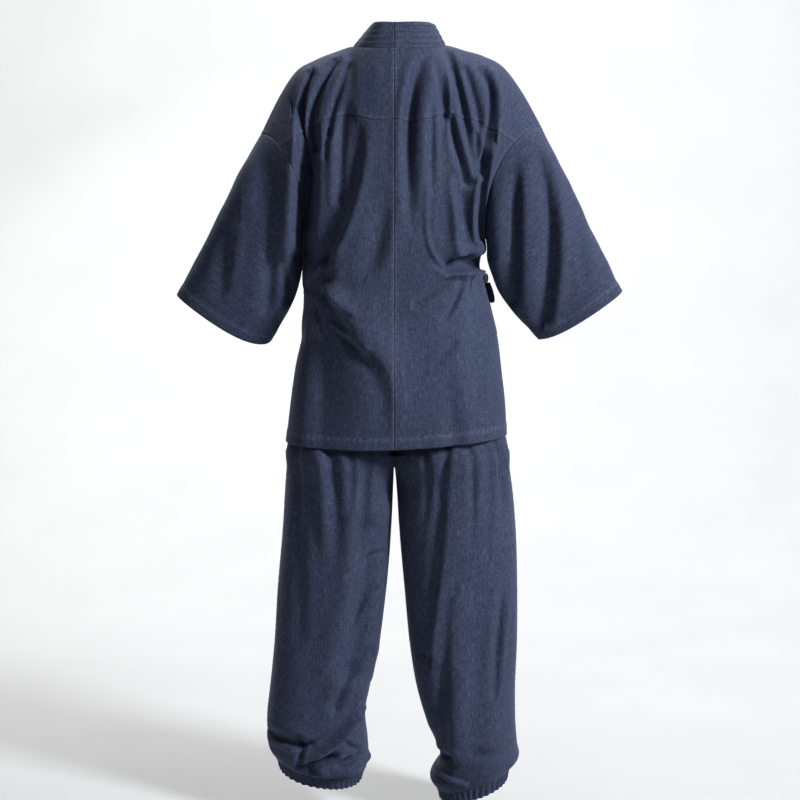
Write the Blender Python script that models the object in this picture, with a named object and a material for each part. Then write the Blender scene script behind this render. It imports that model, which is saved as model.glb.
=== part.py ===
# A samue: a two-piece Japanese work dress in indigo denim, worn, seen as the
# hollow cloth alone. The wearer faces -Y, left is +X, up is +Z.
# Heights in the tables are over the ground. The origin is at HOLD_HEIGHT,
# where the shoulders carry the jacket.

import math

import bmesh
import bpy
import numpy as np

# Cloth and seams
HOLD_HEIGHT = 1.440
WALL = 0.0016
BAND_WALL = 0.0024
SEAM_GAP = 0.0003
SEAM_REACH = 0.0025
FRONT_LAP = 0.007
TIE_WIDTH = 0.0176
TAIL_WIDTH = 0.011
TIE_THICK = 0.0024

# The jacket's levels, and how many steps its grids have
HEM_HEIGHT = 0.742
ARMPIT_HEIGHT = 1.158
UPPER_STEPS = 12
LOWER_STEPS = 10
NECK_PART = 0.32
NECK_STEPS = 5
SHOULDER_STEPS = 14
SLEEVE_STEPS = 11
LEG_STEPS = 12
RING_STEPS = 44
YOKE_ROW = 7
VENT_LEVEL = 0.17
COLLAR_WIDTH = 0.050
CUFF_HEIGHT = 0.026
CUFF_WAVES = 11
CUFF_WAVE = 0.0022
CUFF_TAPER = 0.09

INDIGO = (0.035, 0.050, 0.115, 1.0)
INDIGO_DARK = (0.026, 0.037, 0.085, 1.0)


def table(columns, *rows):
    """Numbers under named columns."""
    return dict(zip(columns.split(), np.array(rows, float).T))


# The jacket's body below the armpit. Left and right are the side seams'
# distances from the centre, back and front the depths at the centre.
BODY = table(
    "height left right back front",
    (0.720, 0.209, 0.216, 0.127, 0.121),
    (0.800, 0.198, 0.213, 0.131, 0.123),
    (0.870, 0.186, 0.205, 0.132, 0.124),
    (0.930, 0.175, 0.197, 0.127, 0.123),
    (0.985, 0.173, 0.184, 0.119, 0.120),
    (1.030, 0.172, 0.173, 0.116, 0.118),
    (1.066, 0.171, 0.163, 0.119, 0.119),
    (1.110, 0.171, 0.171, 0.125, 0.121),
    (1.158, 0.172, 0.173, 0.127, 0.122),
)
BODY_SQUARE = 2.5

# The neck seam and shoulder line, from the centre back out to the sleeve
# seam. The lean columns are the cloth's direction as it passes over it.
SHOULDER = table(
    "across left left_height right right_height depth lean_x lean_y lean_z",
    (0.00, 0.000, 1.473, 0.000, 1.473, 0.068, 0.00, -0.15, 0.22),
    (0.15, 0.042, 1.474, 0.052, 1.474, 0.056, 0.00, -0.17, 0.19),
    (0.25, 0.067, 1.476, 0.086, 1.477, 0.032, 0.00, -0.20, 0.13),
    (0.32, 0.078, 1.479, 0.098, 1.481, 0.006, 0.00, -0.23, 0.09),
    (0.45, 0.112, 1.469, 0.133, 1.472, 0.000, 0.00, -0.25, 0.06),
    (0.60, 0.152, 1.453, 0.170, 1.461, 0.000, 0.01, -0.25, 0.05),
    (0.74, 0.186, 1.432, 0.207, 1.440, 0.000, 0.03, -0.25, 0.04),
    (0.87, 0.218, 1.384, 0.243, 1.392, 0.000, 0.07, -0.23, 0.02),
    (1.00, 0.252, 1.316, 0.278, 1.330, 0.000, 0.10, -0.20, 0.00),
)

# The yoke's lower edge on the back, level from the centre to the armhole.
YOKE_EDGE = table(
    "across level",
    (0.00, 1.535),
    (0.35, 1.505),
    (0.55, 1.488),
    (0.75, 1.480),
    (0.90, 1.520),
    (1.00, 1.0 + YOKE_ROW / UPPER_STEPS),
)

# The front's top edge differs only at the neck, which is cut lower there.
NECK_FRONT = table(
    "across depth height",
    (0.00, -0.088, 1.405),
    (0.15, -0.076, 1.430),
    (0.25, -0.044, 1.464),
    (0.32, 0.006, 1.480),
)

# The front edge of each half, as its distance across at each level. Level 0
# is the hem, 1 the armpit and 2 the shoulder line.
FRONT_EDGE = table(
    "level across",
    (0.00, -0.47),
    (0.55, -0.46),
    (0.80, -0.41),
    (1.00, -0.32),
    (1.30, -0.15),
    (1.60, 0.05),
    (1.85, 0.22),
    (2.00, 0.32),
)

# The collar's upper edge behind the neck, above the neck seam.
STAND = table(
    "across left right depth height",
    (0.00, 0.000, 0.000, 0.052, 1.522),
    (0.15, 0.027, 0.046, 0.045, 1.523),
    (0.25, 0.038, 0.067, 0.026, 1.523),
    (0.32, 0.043, 0.077, 0.000, 1.521),
)

# The sleeves. Share 0 is the seam to the body and 1 the cuff. Out and in
# are the outer fold and the underarm, over and under their heights.
SLEEVE = {
    "left": table(
        "share out over in under mid back front drop",
        (0.20, 0.2885, 1.254, 0.1780, 1.118, 0.000, 0.062, 0.060, 0.002),
        (0.45, 0.327, 1.178, 0.1775, 1.072, -0.004, 0.062, 0.060, 0.004),
        (0.70, 0.366, 1.102, 0.1890, 1.008, -0.012, 0.057, 0.056, 0.010),
        (1.00, 0.4165, 1.012, 0.2360, 0.925, -0.026, 0.052, 0.050, 0.018),
    ),
    "right": table(
        "share out over in under mid back front drop",
        (0.20, 0.306, 1.274, 0.1785, 1.120, 0.000, 0.062, 0.060, 0.002),
        (0.45, 0.347, 1.196, 0.1795, 1.072, -0.004, 0.062, 0.060, 0.004),
        (0.70, 0.387, 1.113, 0.2080, 1.004, -0.012, 0.057, 0.056, 0.008),
        (1.00, 0.4365, 1.019, 0.2750, 0.929, -0.026, 0.052, 0.050, 0.010),
    ),
}
SLEEVE_SQUARE = 2.2

# The trouser legs below the crotch. In and out are the inseam's and the side
# seam's distances from the centre.
LEG = {
    "left": table(
        "height in out back front",
        (0.108, 0.054, 0.236, 0.060, 0.070),
        (0.122, 0.051, 0.245, 0.070, 0.080),
        (0.150, 0.052, 0.2475, 0.077, 0.087),
        (0.200, 0.057, 0.2475, 0.080, 0.088),
        (0.248, 0.048, 0.242, 0.080, 0.088),
        (0.334, 0.031, 0.233, 0.080, 0.090),
        (0.440, 0.016, 0.226, 0.084, 0.094),
        (0.576, 0.0050, 0.214, 0.094, 0.098),
        (0.640, 0.0022, 0.210, 0.098, 0.099),
        (0.690, 0.0002, 0.206, 0.104, 0.100),
    ),
    "right": table(
        "height in out back front",
        (0.076, 0.080, 0.230, 0.056, 0.066),
        (0.090, 0.070, 0.242, 0.066, 0.076),
        (0.116, 0.088, 0.240, 0.074, 0.084),
        (0.180, 0.064, 0.2360, 0.080, 0.088),
        (0.248, 0.044, 0.235, 0.080, 0.088),
        (0.334, 0.030, 0.238, 0.080, 0.090),
        (0.440, 0.020, 0.238, 0.084, 0.094),
        (0.576, 0.0085, 0.233, 0.094, 0.098),
        (0.640, 0.0045, 0.227, 0.098, 0.099),
        (0.690, 0.0002, 0.2195, 0.104, 0.100),
    ),
}
LEG_SQUARE = 2.3
CROTCH_HEIGHT = 0.690
CROTCH_BLEND = 0.38

# The trousers above the crotch, inside the jacket.
HIP = table(
    "height left right back front",
    (0.690, 0.2060, 0.2195, 0.108, 0.101),
    (0.735, 0.2005, 0.2080, 0.112, 0.104),
    (0.800, 0.1880, 0.2000, 0.117, 0.106),
    (0.870, 0.1770, 0.1890, 0.116, 0.107),
    (0.930, 0.1650, 0.1750, 0.108, 0.104),
    (0.972, 0.1560, 0.1580, 0.100, 0.100),
)
WAIST_HEIGHT = 0.972
WAISTBAND_HEIGHT = 0.036

# How far each leg's hem tips up at the side seam and down at the back.
HEM_TIP = {"left": (0.014, 0.026), "right": (0.022, 0.018)}

# The largest folds: face, then start, middle and end as x and height, the
# width, and the depth at each of the three. A negative depth is a ridge.
FOLDS = table(
    "face x0 z0 x1 z1 x2 z2 width d0 d1 d2",
    (0, 0.165, 1.413, 0.176, 1.322, 0.164, 1.210, 0.011, 0.004, 0.013, 0.012),
    (0, 0.107, 1.438, 0.150, 1.357, 0.142, 1.290, 0.009, 0.003, 0.009, 0.003),
    (0, 0.064, 1.347, 0.079, 1.196, 0.118, 1.029, 0.017, 0.002, 0.005, 0.003),
    (0, -0.062, 1.455, -0.037, 1.333, -0.035, 1.176, 0.011, 0.003, 0.007, 0.003),
    (0, -0.111, 1.445, -0.132, 1.344, -0.155, 1.238, 0.009, 0.003, 0.007, 0.004),
    (0, -0.188, 1.421, -0.186, 1.311, -0.168, 1.210, 0.012, 0.005, 0.014, 0.012),
    (0, 0.156, 1.064, 0.134, 1.031, 0.097, 0.994, 0.010, 0.008, 0.008, 0.002),
    (0, 0.123, 0.962, 0.080, 0.938, 0.043, 0.906, 0.011, 0.003, 0.005, 0.001),
    (0, -0.154, 1.080, -0.128, 1.088, -0.095, 1.078, 0.009, 0.009, 0.008, 0.001),
    (0, -0.130, 1.046, -0.106, 0.993, -0.085, 0.926, 0.013, 0.005, 0.005, 0.001),
    (0, 0.119, 0.916, 0.134, 0.841, 0.153, 0.745, 0.016, 0.001, 0.004, 0.006),
    (0, -0.085, 0.917, -0.096, 0.843, -0.108, 0.745, 0.016, 0.001, 0.004, 0.006),
    (1, 0.168, 1.420, 0.176, 1.315, 0.166, 1.210, 0.012, 0.004, 0.013, 0.012),
    (1, -0.186, 1.424, -0.186, 1.318, -0.168, 1.210, 0.011, 0.004, 0.013, 0.012),
    (1, 0.130, 1.430, 0.125, 1.340, 0.095, 1.240, 0.010, 0.003, 0.008, 0.003),
    (1, -0.140, 1.430, -0.130, 1.340, -0.110, 1.230, 0.010, 0.003, 0.008, 0.003),
    (1, 0.140, 1.070, 0.060, 1.035, -0.050, 1.010, 0.012, 0.002, 0.006, 0.003),
    (1, 0.130, 0.985, 0.080, 0.900, 0.070, 0.760, 0.016, 0.001, 0.005, 0.007),
    (1, -0.140, 0.960, -0.120, 0.860, -0.125, 0.760, 0.015, 0.004, 0.005, 0.006),
    (2, 0.232, 1.225, 0.217, 1.090, 0.224, 0.960, 0.012, 0.003, 0.010, 0.006),
    (2, -0.272, 1.290, -0.301, 1.184, -0.282, 0.970, 0.012, 0.005, 0.014, 0.006),
    (2, -0.234, 1.200, -0.240, 1.131, -0.242, 1.050, 0.012, 0.002, 0.006, 0.003),
    (3, 0.262, 1.260, 0.270, 1.130, 0.300, 0.970, 0.012, 0.003, 0.010, 0.006),
    (3, -0.270, 1.250, -0.270, 1.120, -0.310, 0.970, 0.012, 0.003, 0.011, 0.006),
    (4, 0.132, 0.720, 0.121, 0.619, 0.119, 0.500, 0.014, -0.004, -0.006, -0.001),
    (4, 0.042, 0.735, 0.047, 0.676, 0.055, 0.600, 0.009, 0.008, 0.008, 0.001),
    (4, 0.060, 0.209, 0.092, 0.160, 0.172, 0.118, 0.012, 0.014, 0.015, 0.004),
    (4, 0.250, 0.152, 0.213, 0.146, 0.175, 0.140, 0.009, 0.010, 0.010, 0.001),
    (4, -0.108, 0.735, -0.100, 0.575, -0.072, 0.340, 0.012, 0.008, 0.009, 0.003),
    (4, -0.221, 0.520, -0.214, 0.381, -0.196, 0.225, 0.010, 0.002, 0.009, 0.004),
    (4, -0.069, 0.193, -0.111, 0.147, -0.165, 0.107, 0.012, 0.004, 0.013, 0.006),
    (5, 0.120, 0.720, 0.125, 0.560, 0.140, 0.380, 0.015, 0.007, 0.007, 0.002),
    (5, -0.120, 0.720, -0.130, 0.560, -0.145, 0.380, 0.015, 0.007, 0.007, 0.002),
    (5, 0.075, 0.215, 0.130, 0.165, 0.200, 0.150, 0.012, 0.005, 0.013, 0.006),
    (5, -0.085, 0.185, -0.150, 0.135, -0.210, 0.120, 0.012, 0.005, 0.013, 0.006),
)
# The tie's knot on the right front: its place across, its height, its width,
# depth and height, and how far its middle lies off the cloth.
KNOT_ACROSS = -0.74
KNOT_HEIGHT = 1.040
KNOT_SIZE = (0.032, 0.015, 0.022)
KNOT_OFF = 0.0175
# The tie's strips: name, where each starts across and how far off the cloth.
TIE_ROOTS = (
    ("tie_front", -0.590, 0.0100),
    ("tie_side", -0.920, 0.0038),
)
# Its loops and tails: name, direction, how far they spread, their length, how
# far off the cloth they hang and how far they start under the knot.
TIE_LOOPS = (
    ("tie_loop_front", 1, 0.024, 0.046, 0.0221, 0.0010),
    ("tie_loop_side", -1, 0.016, 0.040, 0.0208, -0.0004),
)
TIE_TAILS = (
    ("tie_tail_front", 1, 0.010, 0.115, 0.0132, 0.0003),
    ("tie_tail_side", -1, 0.004, 0.098, 0.0122, 0.0),
)
LOOP_HALF = 0.0042
LOOP_START = 0.08
TIE_APART = 0.0082

FACES = ("back", "front", "sleeve_back", "sleeve_front", "leg_back", "leg_front")


def smooth(tab, key, column, at):
    """A column of the table on a smooth curve through its rows."""
    keys = tab[key]
    values = tab[column]
    steps = np.diff(keys)
    rise = np.diff(values) / steps
    inner = (rise[1:] * steps[:-1] + rise[:-1] * steps[1:]) / (steps[:-1] + steps[1:])
    slope = np.concatenate(([rise[0]], inner, [rise[-1]]))
    row = np.clip(np.searchsorted(keys, at) - 1, 0, len(keys) - 2)
    span = steps[row]
    t = np.clip((at - keys[row]) / span, 0, 1)
    return hermite(values[row], slope[row] * span, values[row + 1], slope[row + 1] * span, t)


def hermite(start, leave, end, arrive, t):
    """A cubic from start to end with the given directions."""
    t2 = t * t
    t3 = t2 * t
    first = start * (2 * t3 - 3 * t2 + 1) + leave * (t3 - 2 * t2 + t)
    return first + end * (3 * t2 - 2 * t3) + arrive * (t3 - t2)


def ease(t):
    """0 to 1 with no slope at either end."""
    t = np.clip(t, 0, 1)
    return t * t * (3 - 2 * t)


def round_off(across, square):
    """The depth of a rounded section, as a share, at a share of its width."""
    return (1 - np.abs(across).clip(0, 1) ** square) ** (1 / square)


def points(x, y, z):
    return np.stack(np.broadcast_arrays(x, y, z), axis=-1)


def body_ring(face, across, height):
    """A point of the jacket's body below the armpit."""
    half = np.where(
        across >= 0,
        smooth(BODY, "height", "left", height),
        smooth(BODY, "height", "right", height),
    )
    depth = smooth(BODY, "height", face, height)
    share = np.sin(across * math.pi / 2)
    sign = 1 if face == "back" else -1
    return points(half * share, sign * depth * round_off(share, BODY_SQUARE), height)


def hem_height(face, across):
    """The jacket's hem, lowest at the centre left of the back."""
    if face == "front":
        return HEM_HEIGHT + 0 * across
    return HEM_HEIGHT - 0.0015 - 0.006 * across - 0.0105 * np.cos((across - 0.15) * math.pi / 2) ** 2


def jacket_point(face, across, level):
    """The jacket's body. Across runs from -1 at the right seam to 1 at the
    left, level from 0 at the hem over 1 at the armpit to 2 at the shoulder."""
    across, level = np.broadcast_arrays(across, level)
    side = np.where(across >= 0, 1, -1)
    part = np.abs(across)
    sign = 1 if face == "back" else -1
    low = hem_height(face, across)
    below = body_ring(face, across, low + (ARMPIT_HEIGHT - low) * np.clip(level, 0, 1))

    foot = body_ring(face, across, ARMPIT_HEIGHT + 0 * across)
    turn = part**6
    leave = points(0, sign * (0.02 + 0.18 * turn), 0.33)
    top_x = np.where(
        across >= 0,
        smooth(SHOULDER, "across", "left", part),
        smooth(SHOULDER, "across", "right", part),
    )
    top_z = np.where(
        across >= 0,
        smooth(SHOULDER, "across", "left_height", part),
        smooth(SHOULDER, "across", "right_height", part),
    )
    top_y = smooth(SHOULDER, "across", "depth", part)
    arrive = points(
        side * smooth(SHOULDER, "across", "lean_x", part),
        sign * smooth(SHOULDER, "across", "lean_y", part),
        smooth(SHOULDER, "across", "lean_z", part),
    )
    if face == "front":
        neck = part < NECK_PART
        top_y = np.where(neck, smooth(NECK_FRONT, "across", "depth", part), top_y)
        top_z = np.where(neck, smooth(NECK_FRONT, "across", "height", part), top_z)
    top = points(side * top_x, top_y, top_z)
    t = np.clip(level - 1, 0, 1)[..., None]
    above = hermite(foot, leave, top, arrive, t)
    return np.where((level > 1)[..., None], above, below)


def sleeve_point(name, around, share):
    """A sleeve. Around runs from 0 at the outer fold over 0.25 at the back
    to 0.5 at the underarm, and share from 0 at the body to 1 at the cuff."""
    around, share = np.broadcast_arrays(around, share)
    side = 1 if name == "left" else -1
    turn = around % 1
    back = turn <= 0.5
    level = np.where(back, 2 - 2 * turn, 2 * turn)
    rows = [
        np.where(
            back[..., None],
            jacket_point("back", side + 0 * turn, level),
            jacket_point("front", side + 0 * turn, level),
        )
    ]
    tab = SLEEVE[name]
    cosine = np.cos(2 * math.pi * turn)
    sine = np.sin(2 * math.pi * turn)
    for row in range(len(tab["share"])):
        at = {column: tab[column][row] for column in tab}
        middle = np.array([(at["out"] + at["in"]) / 2, (at["over"] + at["under"]) / 2])
        half = np.array([(at["out"] - at["in"]) / 2, (at["over"] - at["under"]) / 2])
        along = np.array([half[1], -half[0]]) / np.hypot(*half)
        depth = np.where(sine > 0, at["back"], at["front"]) * (1 + 0.28 * cosine)
        drop = at["drop"] * sine.clip(0, 1) * (1 - 0.7 * cosine)
        x = middle[0] + half[0] * cosine + along[0] * drop
        z = middle[1] + half[1] * cosine + along[1] * drop
        y = at["mid"] + np.sign(sine) * depth * round_off(cosine, SLEEVE_SQUARE)
        rows.append(points(side * x, y, z))
    keys = np.concatenate(([0], tab["share"]))
    stack = np.stack(rows)
    rise = np.diff(stack, axis=0) / np.diff(keys)[:, None, None, None]
    slope = np.concatenate((rise[:1], (rise[1:] + rise[:-1]) / 2, rise[-1:]))
    row = np.clip(np.searchsorted(keys, share) - 1, 0, len(keys) - 2)
    span = np.diff(keys)[row]
    t = ((share - keys[row]) / span)[..., None]
    grid = tuple(np.indices(row.shape))
    span = span[..., None]
    return hermite(
        stack[(row,) + grid],
        slope[(row,) + grid] * span,
        stack[(row + 1,) + grid],
        slope[(row + 1,) + grid] * span,
        t,
    )


def leg_point(name, face, across, level):
    """A trouser leg. Across runs from 0 at the inseam or centre seam to 1 at
    the side seam, level from 0 at the hem over 1 at the crotch to 2."""
    across, level = np.broadcast_arrays(across, level)
    side = 1 if name == "left" else -1
    sign = 1 if face == "back" else -1
    tab = LEG[name]
    hem = tab["height"][0]
    height = hem + (CROTCH_HEIGHT - hem) * np.clip(level, 0, 1)
    inner = smooth(tab, "height", "in", height)
    outer = smooth(tab, "height", "out", height)
    turn = -np.cos(across * math.pi)
    depth = smooth(tab, "height", face, height)
    x = (inner + outer) / 2 + (outer - inner) / 2 * turn
    y = sign * depth * round_off(turn, LEG_SQUARE)
    near_hem = ease(1 - (height - hem) / 0.12)
    tip_side, tip_back = HEM_TIP[name]
    tipped = height + near_hem * (tip_side * turn - tip_back * sign * round_off(turn, 2))
    lower = points(side * x, y, tipped)

    rise = np.clip(level - 1, 0, 1)
    high = CROTCH_HEIGHT + (WAIST_HEIGHT - CROTCH_HEIGHT) * rise
    share = np.sin(across * math.pi / 2)
    half = smooth(HIP, "height", name, high)
    deep = smooth(HIP, "height", face, high)
    upper = points(side * half * share, sign * deep * round_off(share, LEG_SQUARE), high)
    mix = ease(rise / CROTCH_BLEND)[..., None]
    lower[..., 2] = np.where(level > 1, high, lower[..., 2])
    return np.where((level > 1)[..., None], lower * (1 - mix) + upper * mix, lower)


def fold_depth(face, place):
    """How far the folds of a face push its points in, from x and height."""
    x = place[..., 0]
    z = place[..., 2]
    depth = np.zeros_like(x)
    steps = np.linspace(0, 1, 17)
    for row in np.flatnonzero(FOLDS["face"] == FACES.index(face)):
        f = {column: FOLDS[column][row] for column in FOLDS}
        line_x = bend(f["x0"], f["x1"], f["x2"], steps)
        line_z = bend(f["z0"], f["z1"], f["z2"], steps)
        line_d = bend(f["d0"], f["d1"], f["d2"], steps)
        gap = np.hypot(x[..., None] - line_x, z[..., None] - line_z)
        near = gap.argmin(axis=-1)
        apart = gap.min(axis=-1) / f["width"]
        trough = np.exp(-(apart**2))
        ridge = 0.3 * np.exp(-((apart - 1.9) ** 2))
        depth += line_d[near] * (trough - ridge)
    return depth


def bend(start, middle, end, t):
    """A curve through three values."""
    return start * (1 - t) * (1 - 2 * t) + middle * 4 * t * (1 - t) + end * t * (2 * t - 1)


def normals(grid, outward, closed=False):
    """The surface's direction at each point, turned towards outward."""
    if closed:
        along = np.roll(grid, -1, axis=1) - np.roll(grid, 1, axis=1)
    else:
        along = np.gradient(grid, axis=1)
    normal = np.cross(along, np.gradient(grid, axis=0))
    normal /= np.linalg.norm(normal, axis=-1, keepdims=True).clip(1e-9)
    turned = np.sign((normal * outward(grid)).sum(axis=-1).sum())
    return normal * (turned or 1)


class Panel:
    """An open grid of cloth points: rows along it and columns across."""

    def __init__(self, name, grid, outward, closed=False, wall=WALL, colour=INDIGO):
        self.name = name
        self.grid = grid
        self.closed = closed
        self.wall = wall
        self.colour = colour
        self.normal = normals(grid, outward, closed)

    def rim(self):
        """The indexes of the points on its edges."""
        count_v, count_u = self.grid.shape[:2]
        v, u = np.indices((count_v, count_u))
        edge = (v == 0) | (v == count_v - 1)
        if not self.closed:
            edge |= (u == 0) | (u == count_u - 1)
        return np.argwhere(edge)

    def build(self, collection):
        """The wall between the grid and the same grid moved inward."""
        count_v, count_u = self.grid.shape[:2]
        bm = bmesh.new()
        layers = []
        for points_of in (self.grid, self.grid - self.normal * self.wall):
            placed = points_of - np.array([0, 0, HOLD_HEIGHT])
            layers.append([[bm.verts.new(p) for p in row] for row in placed])
        outer, inner = layers
        columns = range(count_u if self.closed else count_u - 1)
        for v in range(count_v - 1):
            for u in columns:
                w = (u + 1) % count_u
                bm.faces.new((outer[v][u], outer[v][w], outer[v + 1][w], outer[v + 1][u]))
                bm.faces.new((inner[v][u], inner[v + 1][u], inner[v + 1][w], inner[v][w]))
        for v, flip in ((0, False), (count_v - 1, True)):
            for u in columns:
                w = (u + 1) % count_u
                face = (outer[v][u], inner[v][u], inner[v][w], outer[v][w])
                bm.faces.new(face[::-1] if flip else face)
        if not self.closed:
            for u, flip in ((0, True), (count_u - 1, False)):
                for v in range(count_v - 1):
                    face = (outer[v][u], inner[v][u], inner[v + 1][u], outer[v + 1][u])
                    bm.faces.new(face[::-1] if flip else face)
        bmesh.ops.recalc_face_normals(bm, faces=bm.faces)
        return finish_mesh(self.name, bm, self.colour, collection)


def finish_mesh(name, bm, colour, collection):
    """An object with its own material from a closed bmesh."""
    mesh = bpy.data.meshes.new(name)
    bm.to_mesh(mesh)
    bm.free()
    mesh.shade_smooth()
    obj = bpy.data.objects.new(name, mesh)
    collection.objects.link(obj)
    material = bpy.data.materials.new(name)
    material.use_nodes = True
    shader = material.node_tree.nodes["Principled BSDF"]
    shader.inputs["Base Color"].default_value = colour
    shader.inputs["Roughness"].default_value = 0.9
    shader.inputs["Metallic"].default_value = 0.0
    mesh.materials.append(material)
    return obj


def share_normals(panels):
    """Points that meet at a seam thicken in the same direction."""
    places = []
    for panel in panels:
        for v, u in panel.rim():
            places.append((panel, v, u))
    where = np.array([p.grid[v, u] for p, v, u in places])
    normal = np.array([p.normal[v, u] for p, v, u in places])
    mixed = normal.copy()
    for i in range(len(places)):
        near = np.linalg.norm(where - where[i], axis=1) < SEAM_REACH
        near &= normal @ normal[i] > 0.3
        total = normal[near].sum(axis=0)
        size = np.linalg.norm(total)
        if size > 0.2:
            mixed[i] = total / size
    for (panel, v, u), n in zip(places, mixed):
        panel.normal[v, u] = n


def from_body(grid):
    """The direction away from the trunk's middle line."""
    return grid * np.array([1.0, 1.6, 0.0]) + np.array([0.0, 0.0, 0.02])


def from_leg(name):
    """The direction away from a leg's middle line."""
    side = 1 if name == "left" else -1
    return lambda grid: grid - points(side * 0.13, 0.0, grid[..., 2])


def from_arm(name):
    """The direction away from a sleeve's middle line."""
    side = 1 if name == "left" else -1

    def outward(grid):
        drop = (1.30 - grid[..., 2]).clip(0, 0.4)
        return grid - points(side * (0.20 + 0.42 * drop), -0.01, grid[..., 2])

    return outward


def jacket_cloth(face, across, level, lift=0.0):
    """The jacket's body with its folds, and the front that laps over lifted."""
    across, level = np.broadcast_arrays(across, level)
    grid = jacket_point(face, across, level)
    step = 0.012
    low = np.clip(level, 0, 2 - step)
    inner = across * (1 - step)
    along = jacket_point(face, inner + step, low) - jacket_point(face, inner - step, low)
    rise = jacket_point(face, inner, low + step) - jacket_point(face, inner, low - step)
    normal = np.cross(along, rise)
    normal /= np.linalg.norm(normal, axis=-1, keepdims=True)
    if face == "back":
        normal = -normal
    part = np.abs(across)
    fade = ease((1 - part) / 0.10) * ease((2 - level) / 0.12)
    if face == "back":
        fade = fade * ease(part / 0.06)
    push = fold_depth(face, grid) * fade
    push = push - lift * ease((0.95 - across) / 0.18) * ease((1.98 - level) / 0.35)
    return grid - normal * push[..., None]


def body_rows(across):
    """The rows of the back, from the hem over the yoke's edge to the top,
    which meet those of the fronts and sleeves at across 1."""
    part = np.abs(across)
    lower = np.linspace(0, 1, LOWER_STEPS + 1)[:, None] + 0 * part
    edge = smooth(YOKE_EDGE, "across", "level", part)
    below = np.arange(1, YOKE_ROW + 1)[:, None] / YOKE_ROW
    above = np.arange(1, UPPER_STEPS - YOKE_ROW + 1)[:, None] / (UPPER_STEPS - YOKE_ROW)
    return np.concatenate((lower, 1 + (edge - 1) * below, edge + (2 - edge) * above))


def vent(level):
    """How far a side edge is drawn back at the vent in the side seam."""
    return 1 - 0.004 * ease((VENT_LEVEL - level) / 0.05)


def back_panels(name, side):
    """The back and its yoke, from the centre seam out to the side."""
    neck = np.linspace(0, NECK_PART, NECK_STEPS + 1)
    shoulder = np.linspace(NECK_PART, 1, SHOULDER_STEPS + 1)
    across = np.concatenate((neck, shoulder[1:]))[None, :]
    level = body_rows(across)
    across = side * across * vent(level)
    grid = jacket_cloth("back", across, level)
    split = LOWER_STEPS + YOKE_ROW
    return [
        Panel(f"back_{name}", shrink(grid[: split + 1]), from_body),
        Panel(f"yoke_{name}", shrink(grid[split:]), from_body),
    ]


def front_levels():
    """The rows of the fronts."""
    lower = np.linspace(0, 1, LOWER_STEPS + 1)
    upper = 1 + np.arange(1, UPPER_STEPS + 1) / UPPER_STEPS
    return np.concatenate((lower, upper))[:, None]


def collar_panel(name, side, lift):
    """Half of the collar band, from the front hem up round the neck."""
    width = np.linspace(0, 1, 5)[None, :]
    level = front_levels()
    edge = smooth(FRONT_EDGE, "level", "across", level)
    sewn = jacket_cloth("front", side * edge, level, lift)
    ahead = jacket_cloth("front", side * (edge - 0.02), level, lift)
    pace = np.linalg.norm(ahead - sewn, axis=-1) / 0.02
    reach = COLLAR_WIDTH / pace
    flat = jacket_cloth("front", side * (edge - width * reach), level, lift)
    stand = stand_point(name, np.array([[NECK_PART]]))[0, 0]
    neck = jacket_point("front", np.array([side * NECK_PART]), np.array([2.0]))[0]
    upright = sewn + (stand - neck) * width[..., None]
    mix = ease((2 - level) / 0.5)[..., None]
    front = upright * (1 - mix) + flat * mix
    part = np.linspace(NECK_PART, 0, NECK_STEPS + 1)[1:, None]
    seam = jacket_point("back", side * part, 2 + 0 * part)
    top = stand_point(name, part)
    back = seam * (1 - width[..., None]) + top * width[..., None]
    grid = shrink(np.concatenate((front, back)), 4 * SEAM_GAP)
    return Panel(name, grid, collar_out, wall=BAND_WALL)


def stand_point(name, part):
    """The collar's upper edge at a place from the neck's side to its back."""
    side = 1 if name.endswith("left") else -1
    column = "left" if side > 0 else "right"
    return points(
        side * smooth(STAND, "across", column, part),
        smooth(STAND, "across", "depth", part),
        smooth(STAND, "across", "height", part),
    )


def collar_out(grid):
    """The direction away from the neck's middle line."""
    return grid - points(0.0, -0.02, grid[..., 2])


def front_panel(name, side, lift):
    """A front from its side in to the edge that carries the collar band."""
    level = front_levels()
    edge = smooth(FRONT_EDGE, "level", "across", level)
    share = np.linspace(0, 1, SHOULDER_STEPS + 1)[None, :]
    start = vent(level)
    across = side * (start + (edge - start) * share)
    grid = jacket_cloth("front", across, level, lift)
    return Panel(name, shrink(grid), from_body)


def shrink(grid, gap=SEAM_GAP, closed=False):
    """The grid with each edge drawn in by half a seam gap."""
    grid = grid.copy()
    for axis in ((0,) if closed else (0, 1)):
        body = np.moveaxis(grid, axis, 0)
        for edge, inner in ((0, 1), (-1, -2)):
            step = body[inner] - body[edge]
            size = np.linalg.norm(step, axis=-1, keepdims=True).clip(1e-6)
            body[edge] = body[edge] + step / size * np.minimum(gap * 0.6, size / 2)
    return grid


def jacket_panels():
    """The backs, yokes, fronts and sleeves."""
    panels = []
    for name, side in (("left", 1), ("right", -1)):
        panels += back_panels(name, side)
        lift = FRONT_LAP if name == "left" else 0.0
        panels.append(front_panel(f"front_{name}", side, lift))
        panels.append(collar_panel(f"collar_{name}", side, lift))
        around = np.arange(2 * UPPER_STEPS)[None, :] / (2 * UPPER_STEPS)
        share = np.linspace(0, 1, SLEEVE_STEPS + 1)[:, None]
        grid = sleeve_point(name, around, share)
        outward = from_arm(name)
        normal = normals(grid, outward, closed=True)
        behind = fold_depth("sleeve_back", grid)
        depth = np.where(around <= 0.5, behind, fold_depth("sleeve_front", grid))
        side_fade = ease(np.abs(np.sin(2 * math.pi * around)) / 0.35)
        depth = depth * side_fade * ease(share / 0.15)
        grid = grid - normal * depth[..., None]
        panels.append(Panel(f"sleeve_{name}", shrink(grid, closed=True), outward, closed=True))
    return panels


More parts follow.
